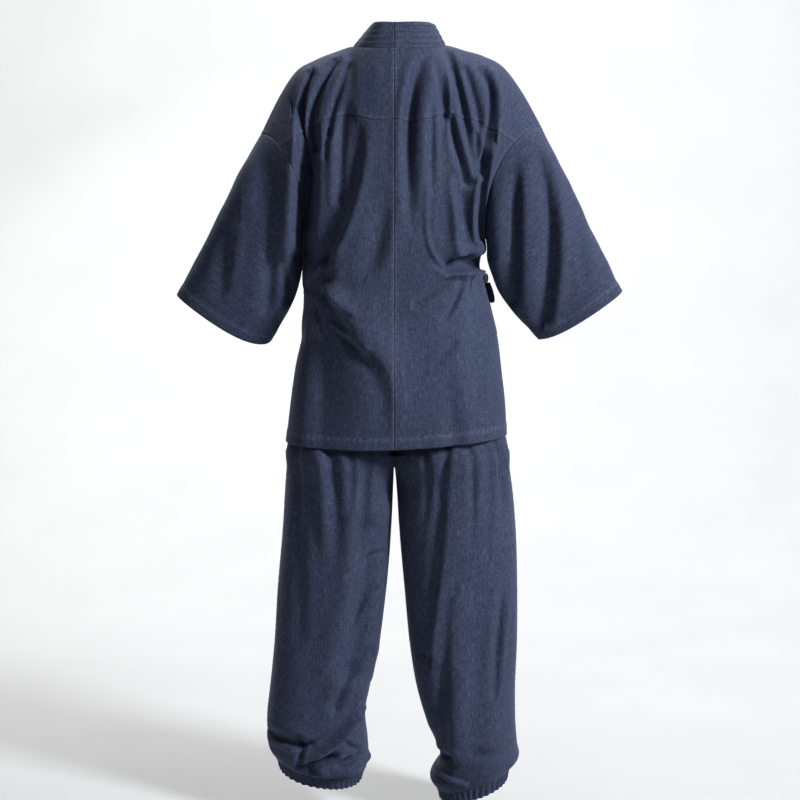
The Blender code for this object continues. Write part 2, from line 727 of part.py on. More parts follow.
def trouser_panels():
    """The four leg panels."""
    panels = []
    for name, side in (("left", 1), ("right", -1)):
        for face in ("back", "front"):
            across = np.linspace(0, 1, LEG_STEPS + 1)[None, :]
            level = np.concatenate((np.linspace(0, 1, 16), np.linspace(1.08, 2, 6)))[:, None]
            grid = leg_point(name, face, across, level)
            depth = fold_depth("leg_" + face, grid)
            fade = ease(np.sin(across * math.pi) / 0.25) * ease(level / 0.02)
            outward = from_leg(name)
            grid = grid - normals(grid, outward) * (depth * fade)[..., None]
            panels.append(Panel(f"leg_{face}_{name}", shrink(grid), outward))
    return panels


def ring_panels():
    """The waistband and the gathered cuffs at the ankles."""
    panels = []
    around = np.arange(RING_STEPS)[None, :] / RING_STEPS
    turn = around * 2 * math.pi
    rise = np.linspace(0, 1, 3)[:, None]
    back = np.sin(turn) > 0
    half = np.where(np.cos(turn) > 0, HIP["left"][-1], HIP["right"][-1])
    depth = np.where(back, HIP["back"][-1], HIP["front"][-1])
    x = half * np.cos(turn)
    y = depth * np.sign(np.sin(turn)) * round_off(np.cos(turn), LEG_SQUARE)
    waist = points(x, y, WAIST_HEIGHT + 0.0006 + WAISTBAND_HEIGHT * rise)
    panels.append(Panel("waistband", waist, from_body, closed=True, wall=BAND_WALL))
    for name, side in (("left", 1), ("right", -1)):
        across = (1 + np.cos(turn)) / 2
        part = np.arccos(1 - 2 * across) / math.pi
        edge = np.where(
            back[..., None],
            leg_point(name, "back", part, 0 * part),
            leg_point(name, "front", part, 0 * part),
        )
        middle = edge.mean(axis=1, keepdims=True)
        wave = CUFF_WAVE * (np.cos(turn * CUFF_WAVES) * np.sin(rise * math.pi) - 1)
        shape = 1 - CUFF_TAPER * np.sin(rise * math.pi / 2)
        ring = middle + (edge - middle) * shape[..., None]
        out = (edge - middle) / np.linalg.norm(edge - middle, axis=-1, keepdims=True)
        ring = ring + out * wave[..., None]
        ring = ring - points(0, 0, 0.0010 + CUFF_HEIGHT * rise)
        outward = from_leg(name)
        panels.append(Panel(f"cuff_{name}", ring, outward, closed=True, wall=BAND_WALL))
    return panels


def on_front(across, height, out):
    """A point off the right of the front, by its distance from the cloth."""
    level = (height - HEM_HEIGHT) / (ARMPIT_HEIGHT - HEM_HEIGHT)
    place = jacket_point("front", np.array([across]), np.array([level]))[0]
    ahead = jacket_point("front", np.array([across + 0.01]), np.array([level]))[0]
    away = np.cross(ahead - place, (0.0, 0.0, 1.0))
    return place + away / np.linalg.norm(away) * out


def strip(name, path, faces_out, width, collection):
    """A flat tie of cloth along a path, its broad side turned outward."""
    path = np.array(path)
    count = len(path)
    along = np.gradient(path, axis=0)
    along /= np.linalg.norm(along, axis=1, keepdims=True)
    out = faces_out - (faces_out * along).sum(axis=1, keepdims=True) * along
    out /= np.linalg.norm(out, axis=1, keepdims=True)
    wide = np.cross(out, along)
    bm = bmesh.new()
    rings = []
    for p, o, w in zip(path, out, wide):
        corners = ((1, 1), (-1, 1), (-1, -1), (1, -1))
        ring = [p + w * a * width / 2 + o * b * TIE_THICK / 2 for a, b in corners]
        rings.append([bm.verts.new(c - np.array([0, 0, HOLD_HEIGHT])) for c in ring])
    for i in range(count - 1):
        for k in range(4):
            m = (k + 1) % 4
            bm.faces.new((rings[i][k], rings[i][m], rings[i + 1][m], rings[i + 1][k]))
    bm.faces.new(rings[0][::-1])
    bm.faces.new(rings[-1])
    bmesh.ops.recalc_face_normals(bm, faces=bm.faces)
    return finish_mesh(name, bm, INDIGO_DARK, collection)


def tie_pieces(collection):
    """The outer tie: a strip from the front edge and one from the side seam,
    in a flat bow at the right of the waist."""
    knot = on_front(KNOT_ACROSS, KNOT_HEIGHT, KNOT_OFF)
    out = knot - on_front(KNOT_ACROSS, KNOT_HEIGHT, 0.0)
    out = out / np.linalg.norm(out)
    side = np.cross(out, (0.0, 0.0, 1.0))
    bm = bmesh.new()
    bmesh.ops.create_cube(bm, size=1.0)
    bmesh.ops.bevel(bm, geom=bm.edges, offset=0.22, segments=2, affect="EDGES")
    for v in bm.verts:
        x, y, z = v.co
        place = knot + side * x * KNOT_SIZE[0] + out * y * KNOT_SIZE[1]
        v.co = place + np.array([0, 0, z * KNOT_SIZE[2] - HOLD_HEIGHT])
    bmesh.ops.recalc_face_normals(bm, faces=bm.faces)
    finish_mesh("tie_knot", bm, INDIGO_DARK, collection)

    ahead = on_front(KNOT_ACROSS + 0.01, KNOT_HEIGHT, KNOT_OFF)
    metre = 0.01 / np.linalg.norm(ahead - knot)
    reach = (KNOT_SIZE[0] / 2 + 3.5 * SEAM_GAP) * metre
    for name, start, off in TIE_ROOTS:
        end = KNOT_ACROSS + math.copysign(reach, start - KNOT_ACROSS)
        path = []
        faces = []
        for share in np.linspace(0, 1, 7):
            across = start + (end - start) * share
            place = on_front(across, KNOT_HEIGHT, off + (KNOT_OFF - off) * share)
            path.append(place)
            faces.append(place - on_front(across, KNOT_HEIGHT, 0.0))
        strip(name, path, np.array(faces), TIE_WIDTH, collection)

    foot = KNOT_HEIGHT - KNOT_SIZE[2] / 2 - SEAM_GAP
    for name, sign, spread, length, off, under in TIE_LOOPS:
        middle = []
        lift = []
        faces = []
        for turn in np.linspace(LOOP_START, 1 - LOOP_START, 15) * 2 * math.pi:
            fall = (math.cos(LOOP_START * 2 * math.pi) - math.cos(turn)) / 2
            across = KNOT_ACROSS + sign * (TIE_APART + spread * fall) * metre
            middle.append(on_front(across, foot - under - length * fall, off))
            lift.append(LOOP_HALF * math.sin(turn))
            faces.append((-LOOP_HALF * math.cos(turn), length / 2 * math.sin(turn)))
        middle = np.array(middle)
        lift = np.array(lift)[:, None]
        faces = np.array(faces)
        down = middle[len(middle) // 2] - middle[0]
        down = down / np.linalg.norm(down)
        turned = down * faces[:, :1] + out * faces[:, 1:]
        strip(name, middle + out * lift, turned, TAIL_WIDTH, collection)
    for name, sign, spread, length, off, under in TIE_TAILS:
        path = []
        for fall in np.linspace(0, 1, 8):
            across = KNOT_ACROSS + sign * (TIE_APART + spread * fall) * metre
            path.append(on_front(across, foot - under - length * fall, off))
        strip(name, path, np.tile(out, (len(path), 1)), TAIL_WIDTH, collection)


def clear_scene():
    for obj in list(bpy.data.objects):
        bpy.data.objects.remove(obj, do_unlink=True)


def main():
    clear_scene()
    collection = bpy.data.collections.new("samue")
    bpy.context.scene.collection.children.link(collection)
    panels = jacket_panels() + trouser_panels() + ring_panels()
    share_normals(panels)
    for panel in panels:
        panel.build(collection)
    tie_pieces(collection)


main()
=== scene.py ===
# A samue, a two-piece Japanese work dress in indigo denim: the looks round the
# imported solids. The wearer faces -Y, and left is the wearer's left, +X. Sizes
# are metres and heights are above the ground, unless a comment says otherwise.
import math

import bmesh
import bpy
import numpy as np
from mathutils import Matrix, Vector


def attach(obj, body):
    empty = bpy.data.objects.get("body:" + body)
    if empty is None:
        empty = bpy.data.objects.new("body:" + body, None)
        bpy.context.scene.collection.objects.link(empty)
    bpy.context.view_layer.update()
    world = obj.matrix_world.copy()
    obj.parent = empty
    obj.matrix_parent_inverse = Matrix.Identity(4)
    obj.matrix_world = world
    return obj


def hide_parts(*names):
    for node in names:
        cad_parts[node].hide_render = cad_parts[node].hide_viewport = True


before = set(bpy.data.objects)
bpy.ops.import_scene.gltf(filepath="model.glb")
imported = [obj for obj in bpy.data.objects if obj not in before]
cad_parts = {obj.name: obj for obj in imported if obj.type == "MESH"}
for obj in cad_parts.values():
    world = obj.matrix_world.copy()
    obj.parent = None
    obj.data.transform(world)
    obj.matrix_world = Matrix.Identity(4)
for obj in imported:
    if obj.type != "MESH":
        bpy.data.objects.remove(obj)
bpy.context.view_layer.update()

HOLD_HEIGHT = 1.440  # the frame's origin, above the ground
SIDE = {"left": 1, "right": -1}  # the sign of x
FACING = {"back": 1, "front": -1}  # the sign of y

# The jacket's levels and edges
HEM_HEIGHT = 0.742
ARMPIT_HEIGHT = 1.158
NECK_PART = 0.32
VENT_LEVEL = 0.17
VENT_OPEN = 0.004
COLLAR_WIDTH = 0.050
BODY_SQUARE = 2.5
# The back's hem: how much lower, its tilt, its sag and where it is lowest
HEM_DOWN, HEM_TILT, HEM_SAG, HEM_LOWEST = 0.0015, 0.006, 0.0105, 0.15
# The lap of the left front: how far it lifts, and where that begins
FRONT_LAP = 0.007
LAP_SIDE, LAP_SIDE_FADE = 0.95, 0.18
LAP_TOP, LAP_TOP_FADE = 1.98, 0.35

SLEEVE_SQUARE = 2.2

# The trousers
LEG_SQUARE = 2.3
CROTCH_HEIGHT = 0.690
CROTCH_BLEND = 0.38
CROTCH_LAP = 0.0012
HEM_TIP_HEIGHT = 0.12
WAIST_HEIGHT = 0.972
WAISTBAND_HEIGHT = 0.036
CUFF_HEIGHT = 0.026
CUFF_TAPER = 0.09

# The cloth, its hems and seams
CLOTH = 0.0011
BAND_WALL = 0.0024
HEM_EXTRA = 0.0010
HEM_BAND = 0.022
HEM_STITCH = 0.020
FELL_EXTRA = 0.0005
SEWN_BAND = 0.008
FELL_STITCHES = (0.0018, SEWN_BAND - 0.0008)
COLLAR_ROWS = (0.0025, 0.014, 0.026, 0.038, 0.0475)
PUCKER, PUCKER_PITCH, PUCKER_DRIFT = 0.00035, 0.0105, 0.047
PUCKER_REACH = 0.006
GROOVE, GROOVE_WIDTH = 0.0005, 0.0016
GATHER_DEPTH = 0.0016
CUFF_GATHERS = 38
WAIST_GATHERS = 70
STITCH_PITCH = 0.0034
STITCH_LENGTH = 0.0026
STITCH_WIDTH = 0.0006
UNWORN = 1.0  # the seam's distance where no seam is near

# How creases fade: in shares of the width at the side seam below and above
# the armpit, in levels at the shoulder, and round the sleeve at its folds
SEAM_FADE = 0.035
ARMHOLE_FADE = 0.100
SHOULDER_FADE = 0.12
SLEEVE_FADE = 0.12
NORMAL_STEP = 0.012
SOFT_SWELL = 0.0011
# How far each sleeve's underarm lies in towards the body: where along the
# sleeve, over what share of it, and by how much. Its front has its own.
UNDERARM = {"left": (0.30, 0.24, 0.0056), "right": (0.16, 0.13, 0.0040)}
FRONT_TUCK, TUCK_PLACE, TUCK_WIDTH = 0.0035, 0.57, 0.05

# How many steps each grid of cloth has
LOWER_ROWS = 140
UPPER_ROWS = 96
BACK_ROWS = 56
YOKE_ROWS = 40
NECK_COLUMNS = 35
SHOULDER_COLUMNS = 70
COLLAR_COLUMNS = 18
COLLAR_BACK_ROWS = 25
SLEEVE_ROWS = 88
SLEEVE_COLUMNS = 192
LEG_COLUMNS = 72
LEG_FINE = 10
RING_COLUMNS = 264
WAIST_ROWS = 10
CUFF_ROWS = 12

# The camera of the photo, and half the width it sees a metre away
CAMERA_PLACE = (-0.011, 3.8, 1.25 - HOLD_HEIGHT)
CAMERA_AIM = (-0.011, 0.0, 0.81 - HOLD_HEIGHT)
HALF_VIEW = 0.2008


def table(columns, *rows):
    """Numbers under named columns. The first column is the table's key."""
    return dict(zip(columns.split(), np.array(rows, float).T))


# The jacket's body below the armpit. Left and right are the side seams'
# distances from the centre, back and front the depths at the centre.
BODY = table(
    "height left right back front",
    (0.720, 0.209, 0.216, 0.127, 0.121),
    (0.800, 0.198, 0.213, 0.131, 0.123),
    (0.870, 0.186, 0.205, 0.132, 0.124),
    (0.930, 0.175, 0.197, 0.127, 0.123),
    (0.985, 0.173, 0.184, 0.119, 0.120),
    (1.030, 0.172, 0.173, 0.116, 0.118),
    (1.066, 0.171, 0.163, 0.119, 0.119),
    (1.110, 0.171, 0.171, 0.125, 0.121),
    (1.158, 0.172, 0.173, 0.127, 0.122),
)

# The neck seam and shoulder line, from the centre back out to the sleeve
# seam. The lean columns are the cloth's direction as it passes over it.
SHOULDER = table(
    "across left left_height right right_height depth lean_x lean_y lean_z",
    (0.00, 0.000, 1.473, 0.000, 1.473, 0.068, 0.00, -0.15, 0.22),
    (0.15, 0.042, 1.474, 0.052, 1.474, 0.056, 0.00, -0.17, 0.19),
    (0.25, 0.067, 1.476, 0.086, 1.477, 0.032, 0.00, -0.20, 0.13),
    (0.32, 0.078, 1.479, 0.098, 1.481, 0.006, 0.00, -0.23, 0.09),
    (0.45, 0.112, 1.469, 0.133, 1.472, 0.000, 0.00, -0.25, 0.06),
    (0.60, 0.152, 1.453, 0.170, 1.461, 0.000, 0.01, -0.25, 0.05),
    (0.74, 0.186, 1.432, 0.207, 1.440, 0.000, 0.03, -0.25, 0.04),
    (0.87, 0.218, 1.384, 0.243, 1.392, 0.000, 0.07, -0.23, 0.02),
    (1.00, 0.252, 1.316, 0.278, 1.330, 0.000, 0.10, -0.20, 0.00),
)

# The yoke's lower edge on the back, level from the centre to the armhole.
YOKE_EDGE = table(
    "across level",
    (0.00, 1.535),
    (0.35, 1.505),
    (0.55, 1.488),
    (0.75, 1.480),
    (0.90, 1.520),
    (1.00, 1 + BACK_ROWS / UPPER_ROWS),
)

# The front's top edge differs only at the neck, which is cut lower there.
NECK_FRONT = table(
    "across depth height",
    (0.00, -0.088, 1.405),
    (0.15, -0.076, 1.430),
    (0.25, -0.044, 1.464),
    (0.32, 0.006, 1.480),
)

# The front edge of each half, as its distance across at each level. Level 0
# is the hem, 1 the armpit and 2 the shoulder line.
FRONT_EDGE = table(
    "level across",
    (0.00, -0.47),
    (0.55, -0.46),
    (0.80, -0.41),
    (1.00, -0.32),
    (1.30, -0.15),
    (1.60, 0.05),
    (1.85, 0.22),
    (2.00, 0.32),
)

# The collar's upper edge behind the neck, above the neck seam.
STAND = table(
    "across left right depth height",
    (0.00, 0.000, 0.000, 0.052, 1.522),
    (0.15, 0.027, 0.046, 0.045, 1.523),
    (0.25, 0.038, 0.067, 0.026, 1.523),
    (0.32, 0.043, 0.077, 0.000, 1.521),
)

# The sleeves. Share 0 is the seam to the body and 1 the cuff. Out and in
# are the outer fold and the underarm, over and under their heights.
SLEEVE_COLUMN_NAMES = "share out over in under mid back front drop"
SLEEVE = {
    "left": table(
        SLEEVE_COLUMN_NAMES,
        (0.20, 0.2885, 1.254, 0.1780, 1.118, 0.000, 0.062, 0.060, 0.002),
        (0.45, 0.327, 1.178, 0.1775, 1.072, -0.004, 0.062, 0.060, 0.004),
        (0.70, 0.366, 1.102, 0.1890, 1.008, -0.012, 0.057, 0.056, 0.010),
        (1.00, 0.4165, 1.012, 0.2360, 0.925, -0.026, 0.052, 0.050, 0.018),
    ),
    "right": table(
        SLEEVE_COLUMN_NAMES,
        (0.20, 0.306, 1.274, 0.1785, 1.120, 0.000, 0.062, 0.060, 0.002),
        (0.45, 0.347, 1.196, 0.1795, 1.072, -0.004, 0.062, 0.060, 0.004),
        (0.70, 0.387, 1.113, 0.2080, 1.004, -0.012, 0.057, 0.056, 0.008),
        (1.00, 0.4365, 1.019, 0.2750, 0.929, -0.026, 0.052, 0.050, 0.010),
    ),
}

# The trouser legs below the crotch. In and out are the inseam's and the side
# seam's distances from the centre.
LEG = {
    "left": table(
        "height in out back front",
        (0.108, 0.054, 0.236, 0.060, 0.070),
        (0.122, 0.051, 0.245, 0.070, 0.080),
        (0.150, 0.052, 0.2475, 0.077, 0.087),
        (0.200, 0.057, 0.2475, 0.080, 0.088),
        (0.248, 0.048, 0.242, 0.080, 0.088),
        (0.334, 0.031, 0.233, 0.080, 0.090),
        (0.440, 0.016, 0.226, 0.084, 0.094),
        (0.576, 0.0050, 0.214, 0.094, 0.098),
        (0.640, 0.0022, 0.210, 0.098, 0.099),
        (0.690, 0.0002, 0.206, 0.104, 0.100),
    ),
    "right": table(
        "height in out back front",
        (0.076, 0.080, 0.230, 0.056, 0.066),
        (0.090, 0.070, 0.242, 0.066, 0.076),
        (0.116, 0.088, 0.240, 0.074, 0.084),
        (0.180, 0.064, 0.2360, 0.080, 0.088),
        (0.248, 0.044, 0.235, 0.080, 0.088),
        (0.334, 0.030, 0.238, 0.080, 0.090),
        (0.440, 0.020, 0.238, 0.084, 0.094),
        (0.576, 0.0085, 0.233, 0.094, 0.098),
        (0.640, 0.0045, 0.227, 0.098, 0.099),
        (0.690, 0.0002, 0.2195, 0.104, 0.100),
    ),
}
# The levels of the leg's rows, closer near the hem
LEG_LEVELS = (*np.linspace(0, 0.26, 9), *np.linspace(0.33, 1, 11), 1.08, 1.2, 1.45, 1.7, 2)
# How far each leg's hem tips up at the side seam and down at the back.
HEM_TIP = {"left": (0.014, 0.026), "right": (0.022, 0.018)}

# The trousers above the crotch, inside the jacket.
HIP = table(
    "height left right back front",
    (0.690, 0.2060, 0.2195, 0.108, 0.101),
    (0.735, 0.2005, 0.2080, 0.112, 0.104),
    (0.800, 0.1880, 0.2000, 0.117, 0.106),
    (0.870, 0.1770, 0.1890, 0.116, 0.107),
    (0.930, 0.1650, 0.1750, 0.108, 0.104),
    (0.972, 0.1560, 0.1580, 0.100, 0.100),
)

# The tie's knot on the right front: its place across, its height, its width,
# depth and height, and how far its middle lies off the cloth.
KNOT_ACROSS = -0.74
KNOT_HEIGHT = 1.040
KNOT_SIZE = (0.032, 0.015, 0.022)
KNOT_OFF = 0.0175
TIE_WIDTH = 0.0176
TAIL_WIDTH = 0.011
TIE_THICK = 0.0024
TIE_COLUMNS = 24
TIE_FINE = 6
# The tie's strips: name, where each starts across and how far off the cloth.
TIE_ROOTS = (
    ("tie_front", -0.590, 0.0100),
    ("tie_side", -0.920, 0.0038),
)
# Its loops and tails: name, direction, how far they spread, their length, how
# far off the cloth they hang and how far they start under the knot.
TIE_LOOPS = (
    ("tie_loop_front", 1, 0.024, 0.046, 0.0221, 0.0010),
    ("tie_loop_side", -1, 0.004, 0.040, 0.0208, -0.0004),
)
TIE_TAILS = (
    ("tie_tail_front", 1, 0.010, 0.115, 0.0132, 0.0003),
    ("tie_tail_side", -1, 0.004, 0.098, 0.0122, 0.0),
)
LOOP_HALF = 0.0042
LOOP_START = 0.08
TIE_APART = 0.0082

# The creases of the faces that no photo shows, as given: three points of
# each line as x and height above the ground, the width and the depth at the
# three points, all in millimetres, and how much wider one side of it is than
# the other. A negative depth is a ridge.
HIDDEN_CREASES = {
    "front": (
        (168, 1420, 176, 1315, 166, 1210, 11, 5, 13, 12, -0.2),
        (-186, 1424, -186, 1318, -168, 1210, 11, 5, 13, 12, 0.2),
        (130, 1430, 125, 1340, 95, 1240, 10, 3, 8, 3, 0.4),
        (-140, 1430, -130, 1340, -110, 1230, 10, 3, 8, 3, -0.4),
        (150, 1415, 152, 1345, 140, 1290, 6, 2, 5, 2, 0.3),
        (-160, 1420, -158, 1360, -150, 1300, 6, 2, 5, 2, -0.3),
        (100, 1400, 98, 1350, 85, 1300, 6, 1, 3, 1, 0.3),
        (140, 1070, 60, 1035, -50, 1010, 12, 2, 6, 3, 0.3),
        (90, 1110, 20, 1080, -60, 1050, 8, 1, 4, 2, 0.4),
        (130, 985, 80, 900, 70, 760, 16, 1, 5, 7, 0.3),
        (20, 980, 30, 880, 22, 760, 14, 1, 3, 5, 0.2),
        (-140, 960, -120, 860, -125, 760, 15, 4, 5, 6, -0.3),
    ),
    "sleeve_front": (
        (262, 1260, 270, 1130, 300, 970, 12, 3, 10, 6, 0.4),
        (225, 1230, 228, 1130, 240, 990, 9, 2, 6, 4, 0.3),
        (310, 1160, 325, 1080, 345, 1000, 9, 1, 4, 2, 0),
        (-270, 1250, -270, 1120, -310, 970, 12, 3, 11, 6, -0.4),
        (-232, 1240, -236, 1130, -250, 1000, 9, 2, 6, 4, -0.3),
        (-320, 1150, -335, 1080, -350, 1000, 9, 1, 4, 2, 0),
    ),
    "leg_front": (
        (120, 720, 125, 560, 140, 380, 15, 7, 7, 2, 0.3),
        (70, 730, 78, 640, 90, 540, 8, 5, 4, 1, 0.2),
        (165, 725, 168, 620, 172, 520, 8, 4, 4, 1, 0),
        (100, 420, 110, 320, 125, 220, 12, 1, 6, 4, -0.3),
        (-120, 720, -130, 560, -145, 380, 15, 7, 7, 2, -0.3),
        (-70, 730, -76, 650, -90, 560, 8, 5, 4, 1, -0.2),
        (-168, 725, -172, 620, -180, 530, 8, 4, 4, 1, 0),
        (-105, 430, -112, 330, -120, 220, 12, 1, 6, 4, 0.3),
        (75, 215, 130, 165, 200, 150, 12, 5, 13, 6, 0.3),
        (-85, 185, -150, 135, -210, 120, 12, 5, 13, 6, -0.3),
    ),
}
# The creases read off the photo. Of each face: how far it lies behind
# the wearer's middle, how much deeper than judged its creases are made, and
# its creases. Of each crease: its kind, three points of its darkest line and
# the widths of its two sides in pixels, first the side to the light, and its
# depths in millimetres. The darkest line of a trough lies on the side to the
# light, and a crest's on the other side. A plain line is its own middle, and
# its first width is on the left of the way that it runs.
PHOTO_CREASES = {
    "back": (0.11, 1.45, (
        ("trough", (311, 72), (302, 122), (311, 172), 4.5, 2.5, 5, 10, 4),
        ("trough", (337, 61), (315, 105), (317, 148), 5, 2.5, 4, 10, 6),
        ("trough", (350, 66), (338, 100), (330, 134), 4, 3, 2, 4, 4),
        ("trough", (331, 128), (328, 142), (327, 158), 2.5, 2.5, 2, 3, 2),
        ("trough", (348, 106), (344, 140), (341, 200), 5, 4, 2, 5, 5),
        ("trough", (361, 126), (354, 188), (326, 258), 6, 14, 2, 10, 11),
        ("trough", (332, 260), (330, 276), (332, 288), 7, 8, 5, 8, 4),
        ("crest", (334, 52), (336, 82), (342, 118), 10, 14, 1, 2, 1),
        ("trough", (390, 205), (384, 240), (376, 268), 8, 12, 2, 6, 3),
        ("trough", (429, 58), (414, 118), (415, 225), 7, 5, 3, 13, 1),
        ("trough", (434, 112), (434, 145), (433, 190), 3, 4, 2, 4, 1),
        ("trough", (440, 64), (447, 100), (445, 140), 2.5, 5, 3, 7, 1),
        ("trough", (453, 52), (467, 108), (478, 172), 3.5, 4, 4, 9, 6),
        ("trough", (452, 117), (460, 148), (471, 180), 3, 4.5, 5, 8, 7),
        ("trough", (467, 180), (472, 216), (475, 246), 11, 5, 6, 10, 8),
        ("trough", (478, 134), (480, 150), (481, 166), 2, 3, 4, 6, 5),
        ("trough", (469, 68), (478, 98), (482, 126), 3, 5, 3, 5, 3),
        ("trough", (487, 71), (497, 108), (484, 172), 3.5, 4, 5, 12, 7),
        ("line", (428, 185), (428, 240), (446, 267), 2.5, 2.5, -1, -2, -3),
        ("trough", (480, 262), (464, 261), (447, 263), 8, 4, 20, 30, 8),
        ("crest", (320, 285), (330, 298), (344, 312), 9, 4, 3, 11, 4),
        ("crest", (322, 283), (343, 318), (364, 348), 24, 6, 2, 7, 5),
        ("crest", (330, 326), (346, 337), (366, 352), 4, 2.5, 1, 4, 3),
        ("crest", (364, 348), (386, 378), (392, 440), 20, 9, 5, 6, 1),
        ("trough", (340, 345), (342, 390), (342, 445), 30, 12, 7, 9, 5),
        ("line", (320, 290), (311, 312), (305, 345), 1.8, 1.8, -1.5, -2, -1.5),
        ("trough", (457, 277), (438, 284), (414, 301), 3, 5, 3, 6, 2),
        ("trough", (465, 284), (457, 302), (447, 320), 2.5, 4, 3, 5, 1),
        ("trough", (456, 345), (446, 356), (435, 367), 3, 4, 2, 3, 1),
        ("trough", (484, 292), (482, 340), (484, 400), 9, 8, 2, 3, 2),
        ("trough", (455, 380), (458, 412), (462, 446), 8, 10, 1, 3, 4),
    )),
    "armhole": (0.10, 1.25, (
        ("trough", (313, 150), (313, 192), (309, 225), 5, 8, 8, 16, 14),
        ("trough", (306, 232), (307, 252), (309, 288), 6, 6, 12, 17, 10),
        ("crest", (280, 122), (281, 180), (277, 244), 8, 15, 8, 27, 17),
        ("crest", (256, 112), (256, 200), (240, 310), 9, 48, 1, 20, 14),
        ("trough", (488, 158), (484, 200), (486, 240), 5, 2.5, 9, 18, 12),
        ("trough", (475, 190), (478, 220), (480, 252), 13, 7, 6, 26, 20),
        ("crest", (492, 150), (490, 215), (492, 270), 22, 6, 4, 10, 2),
    )),
    "sleeve_back": (0.05, 1.4, (
        ("trough", (282, 205), (277, 255), (272, 306), 5, 8, 3, 6, 5),
        ("trough", (232, 235), (230, 258), (226, 290), 5, 9, 2, 5, 2),
        ("trough", (286, 262), (292, 285), (291, 300), 4, 5, 2, 4, 3),
        ("trough", (518, 150), (518, 225), (518, 300), 6, 9, 2, 8, 5),
        ("trough", (541, 150), (555, 222), (550, 318), 6, 10, 2, 10, 8),
        ("trough", (580, 215), (585, 250), (590, 285), 5, 7, 1, 2, 1),
    )),
    "leg_back": (0.09, 1.7, (
        ("crest", (315, 452), (318, 490), (320, 555), 9, 6, 1, 4, 1),
        ("trough", (333, 446), (338, 490), (341, 555), 6, 6, 5, 4, 1),
        ("trough", (373, 446), (366, 505), (362, 560), 4, 7, 4, 4, 2),
        ("crest", (350, 480), (350, 560), (338, 680), 9, 34, 3, 6, 4),
        ("trough", (380, 555), (364, 560), (348, 572), 3, 4, 4, 4, 2),
        ("trough", (378, 598), (364, 612), (352, 640), 3, 5, 3, 4, 2),
        ("crest", (388, 470), (340, 470), (290, 468), 7, 18, 3.5, 3.5, 2.5),
        ("crest", (402, 470), (452, 470), (505, 468), 7, 18, 3.5, 3.5, 2.5),
        ("trough", (379, 535), (373, 600), (358, 672), 12, 12, 7, 13, 9),
        ("trough", (306, 455), (303, 540), (303, 640), 6, 9, 2, 3, 2),
        ("trough", (370, 658), (350, 683), (337, 712), 4, 5, 3, 6, 4),
        ("crest", (448, 452), (442, 550), (430, 652), 22, 5, 3, 6, 6),
        ("crest", (452, 600), (448, 690), (450, 752), 14, 6, 3, 7, 5),
        ("trough", (451, 444), (449, 458), (447, 470), 3, 4, 4, 3, 2),
        ("trough", (508, 590), (502, 640), (498, 696), 2.5, 5, 2, 6, 3),
        ("trough", (500, 446), (505, 475), (508, 506), 3, 4, 6, 6, 2),
        ("trough", (470, 446), (475, 482), (473, 540), 3, 4, 3, 3, 1),
        ("trough", (425, 447), (430, 475), (427, 520), 3, 4, 4, 2.5, 1),
        ("trough", (299, 447), (299, 500), (297, 560), 3, 4, 3, 2, 1),
        ("trough", (489, 447), (492, 500), (490, 560), 3, 5, 2, 2, 1),
        ("trough", (352, 446), (354, 475), (352, 510), 3, 4, 3, 3, 1),
        ("trough", (462, 560), (459, 650), (452, 740), 9, 12, 0.5, 3, 3),
        ("line", (361, 714), (339, 744), (304, 764), 3, 3, -5, -8, -6),
        ("line", (354, 712), (334, 736), (302, 752), 4, 5, 2, 8, 6),
        ("trough", (334, 757), (322, 761), (308, 765), 4, 3, 6, 17, 9),
        ("trough", (316, 772), (308, 771), (300, 767), 3, 3, 6, 10, 6),
        ("trough", (301, 740), (302, 753), (302, 764), 3, 4, 4, 7, 4),
        ("trough", (304, 744), (290, 742), (272, 738), 7, 3, 6, 8, 5),
        ("line", (346, 747), (352, 752), (359, 757), 2.5, 2.5, 3, 4, 2),
        ("trough", (358, 760), (348, 763), (338, 766), 2.5, 3, 4, 8, 4),
        ("line", (370, 764), (345, 774), (312, 777), 6, 5, -4, -7, -3),
        ("trough", (428, 764), (438, 763), (449, 764), 6, 5, 6, 12, 7),
        ("line", (430, 776), (445, 782), (466, 789), 2.2, 2.2, -3, -5, -3),
        ("line", (470, 752), (490, 758), (512, 752), 5, 7, 1, 3, 2),
    )),
}
PHOTO_HALF = 400  # half the photo's width, in pixels
TO_LIGHT = (1.0, -0.6)  # the way to the light in the photo, right and up
MIDDLE_OFF = 0.7  # how far off a read line its crease's middle is, in widths
CREASE_STEPS = 12
LEAN = 0.8  # how far the lean widens one side
RIDGE_PLACE, RIDGE_SIZE, RIDGE_LEAN = 1.9, 0.26, 0.16


def hermite(start, leave, end, arrive, t):
    """A cubic from start to end with the given directions."""
    t2 = t * t
    t3 = t2 * t
    first = start * (2 * t3 - 3 * t2 + 1) + leave * (t3 - 2 * t2 + t)
    return first + end * (3 * t2 - 2 * t3) + arrive * (t3 - t2)


def smooth(tab, column, at):
    """A column of the table on a smooth curve through its rows."""
    keys = next(iter(tab.values()))
    values = tab[column]
    steps = np.diff(keys)
    rise = np.diff(values) / steps
    inner = (rise[1:] * steps[:-1] + rise[:-1] * steps[1:]) / (steps[:-1] + steps[1:])
    slope = np.concatenate(([rise[0]], inner, [rise[-1]]))
    row = np.clip(np.searchsorted(keys, at) - 1, 0, len(keys) - 2)
    span = steps[row]
    t = np.clip((at - keys[row]) / span, 0, 1)
    return hermite(values[row], slope[row] * span, values[row + 1], slope[row + 1] * span, t)


def sided(tab, left, right, across, at):
    """The left or the right column of the table, by the side."""
    return np.where(across >= 0, smooth(tab, left, at), smooth(tab, right, at))


def ease(t):
    """0 to 1 with no slope at either end."""
    t = np.clip(t, 0, 1)
    return t * t * (3 - 2 * t)


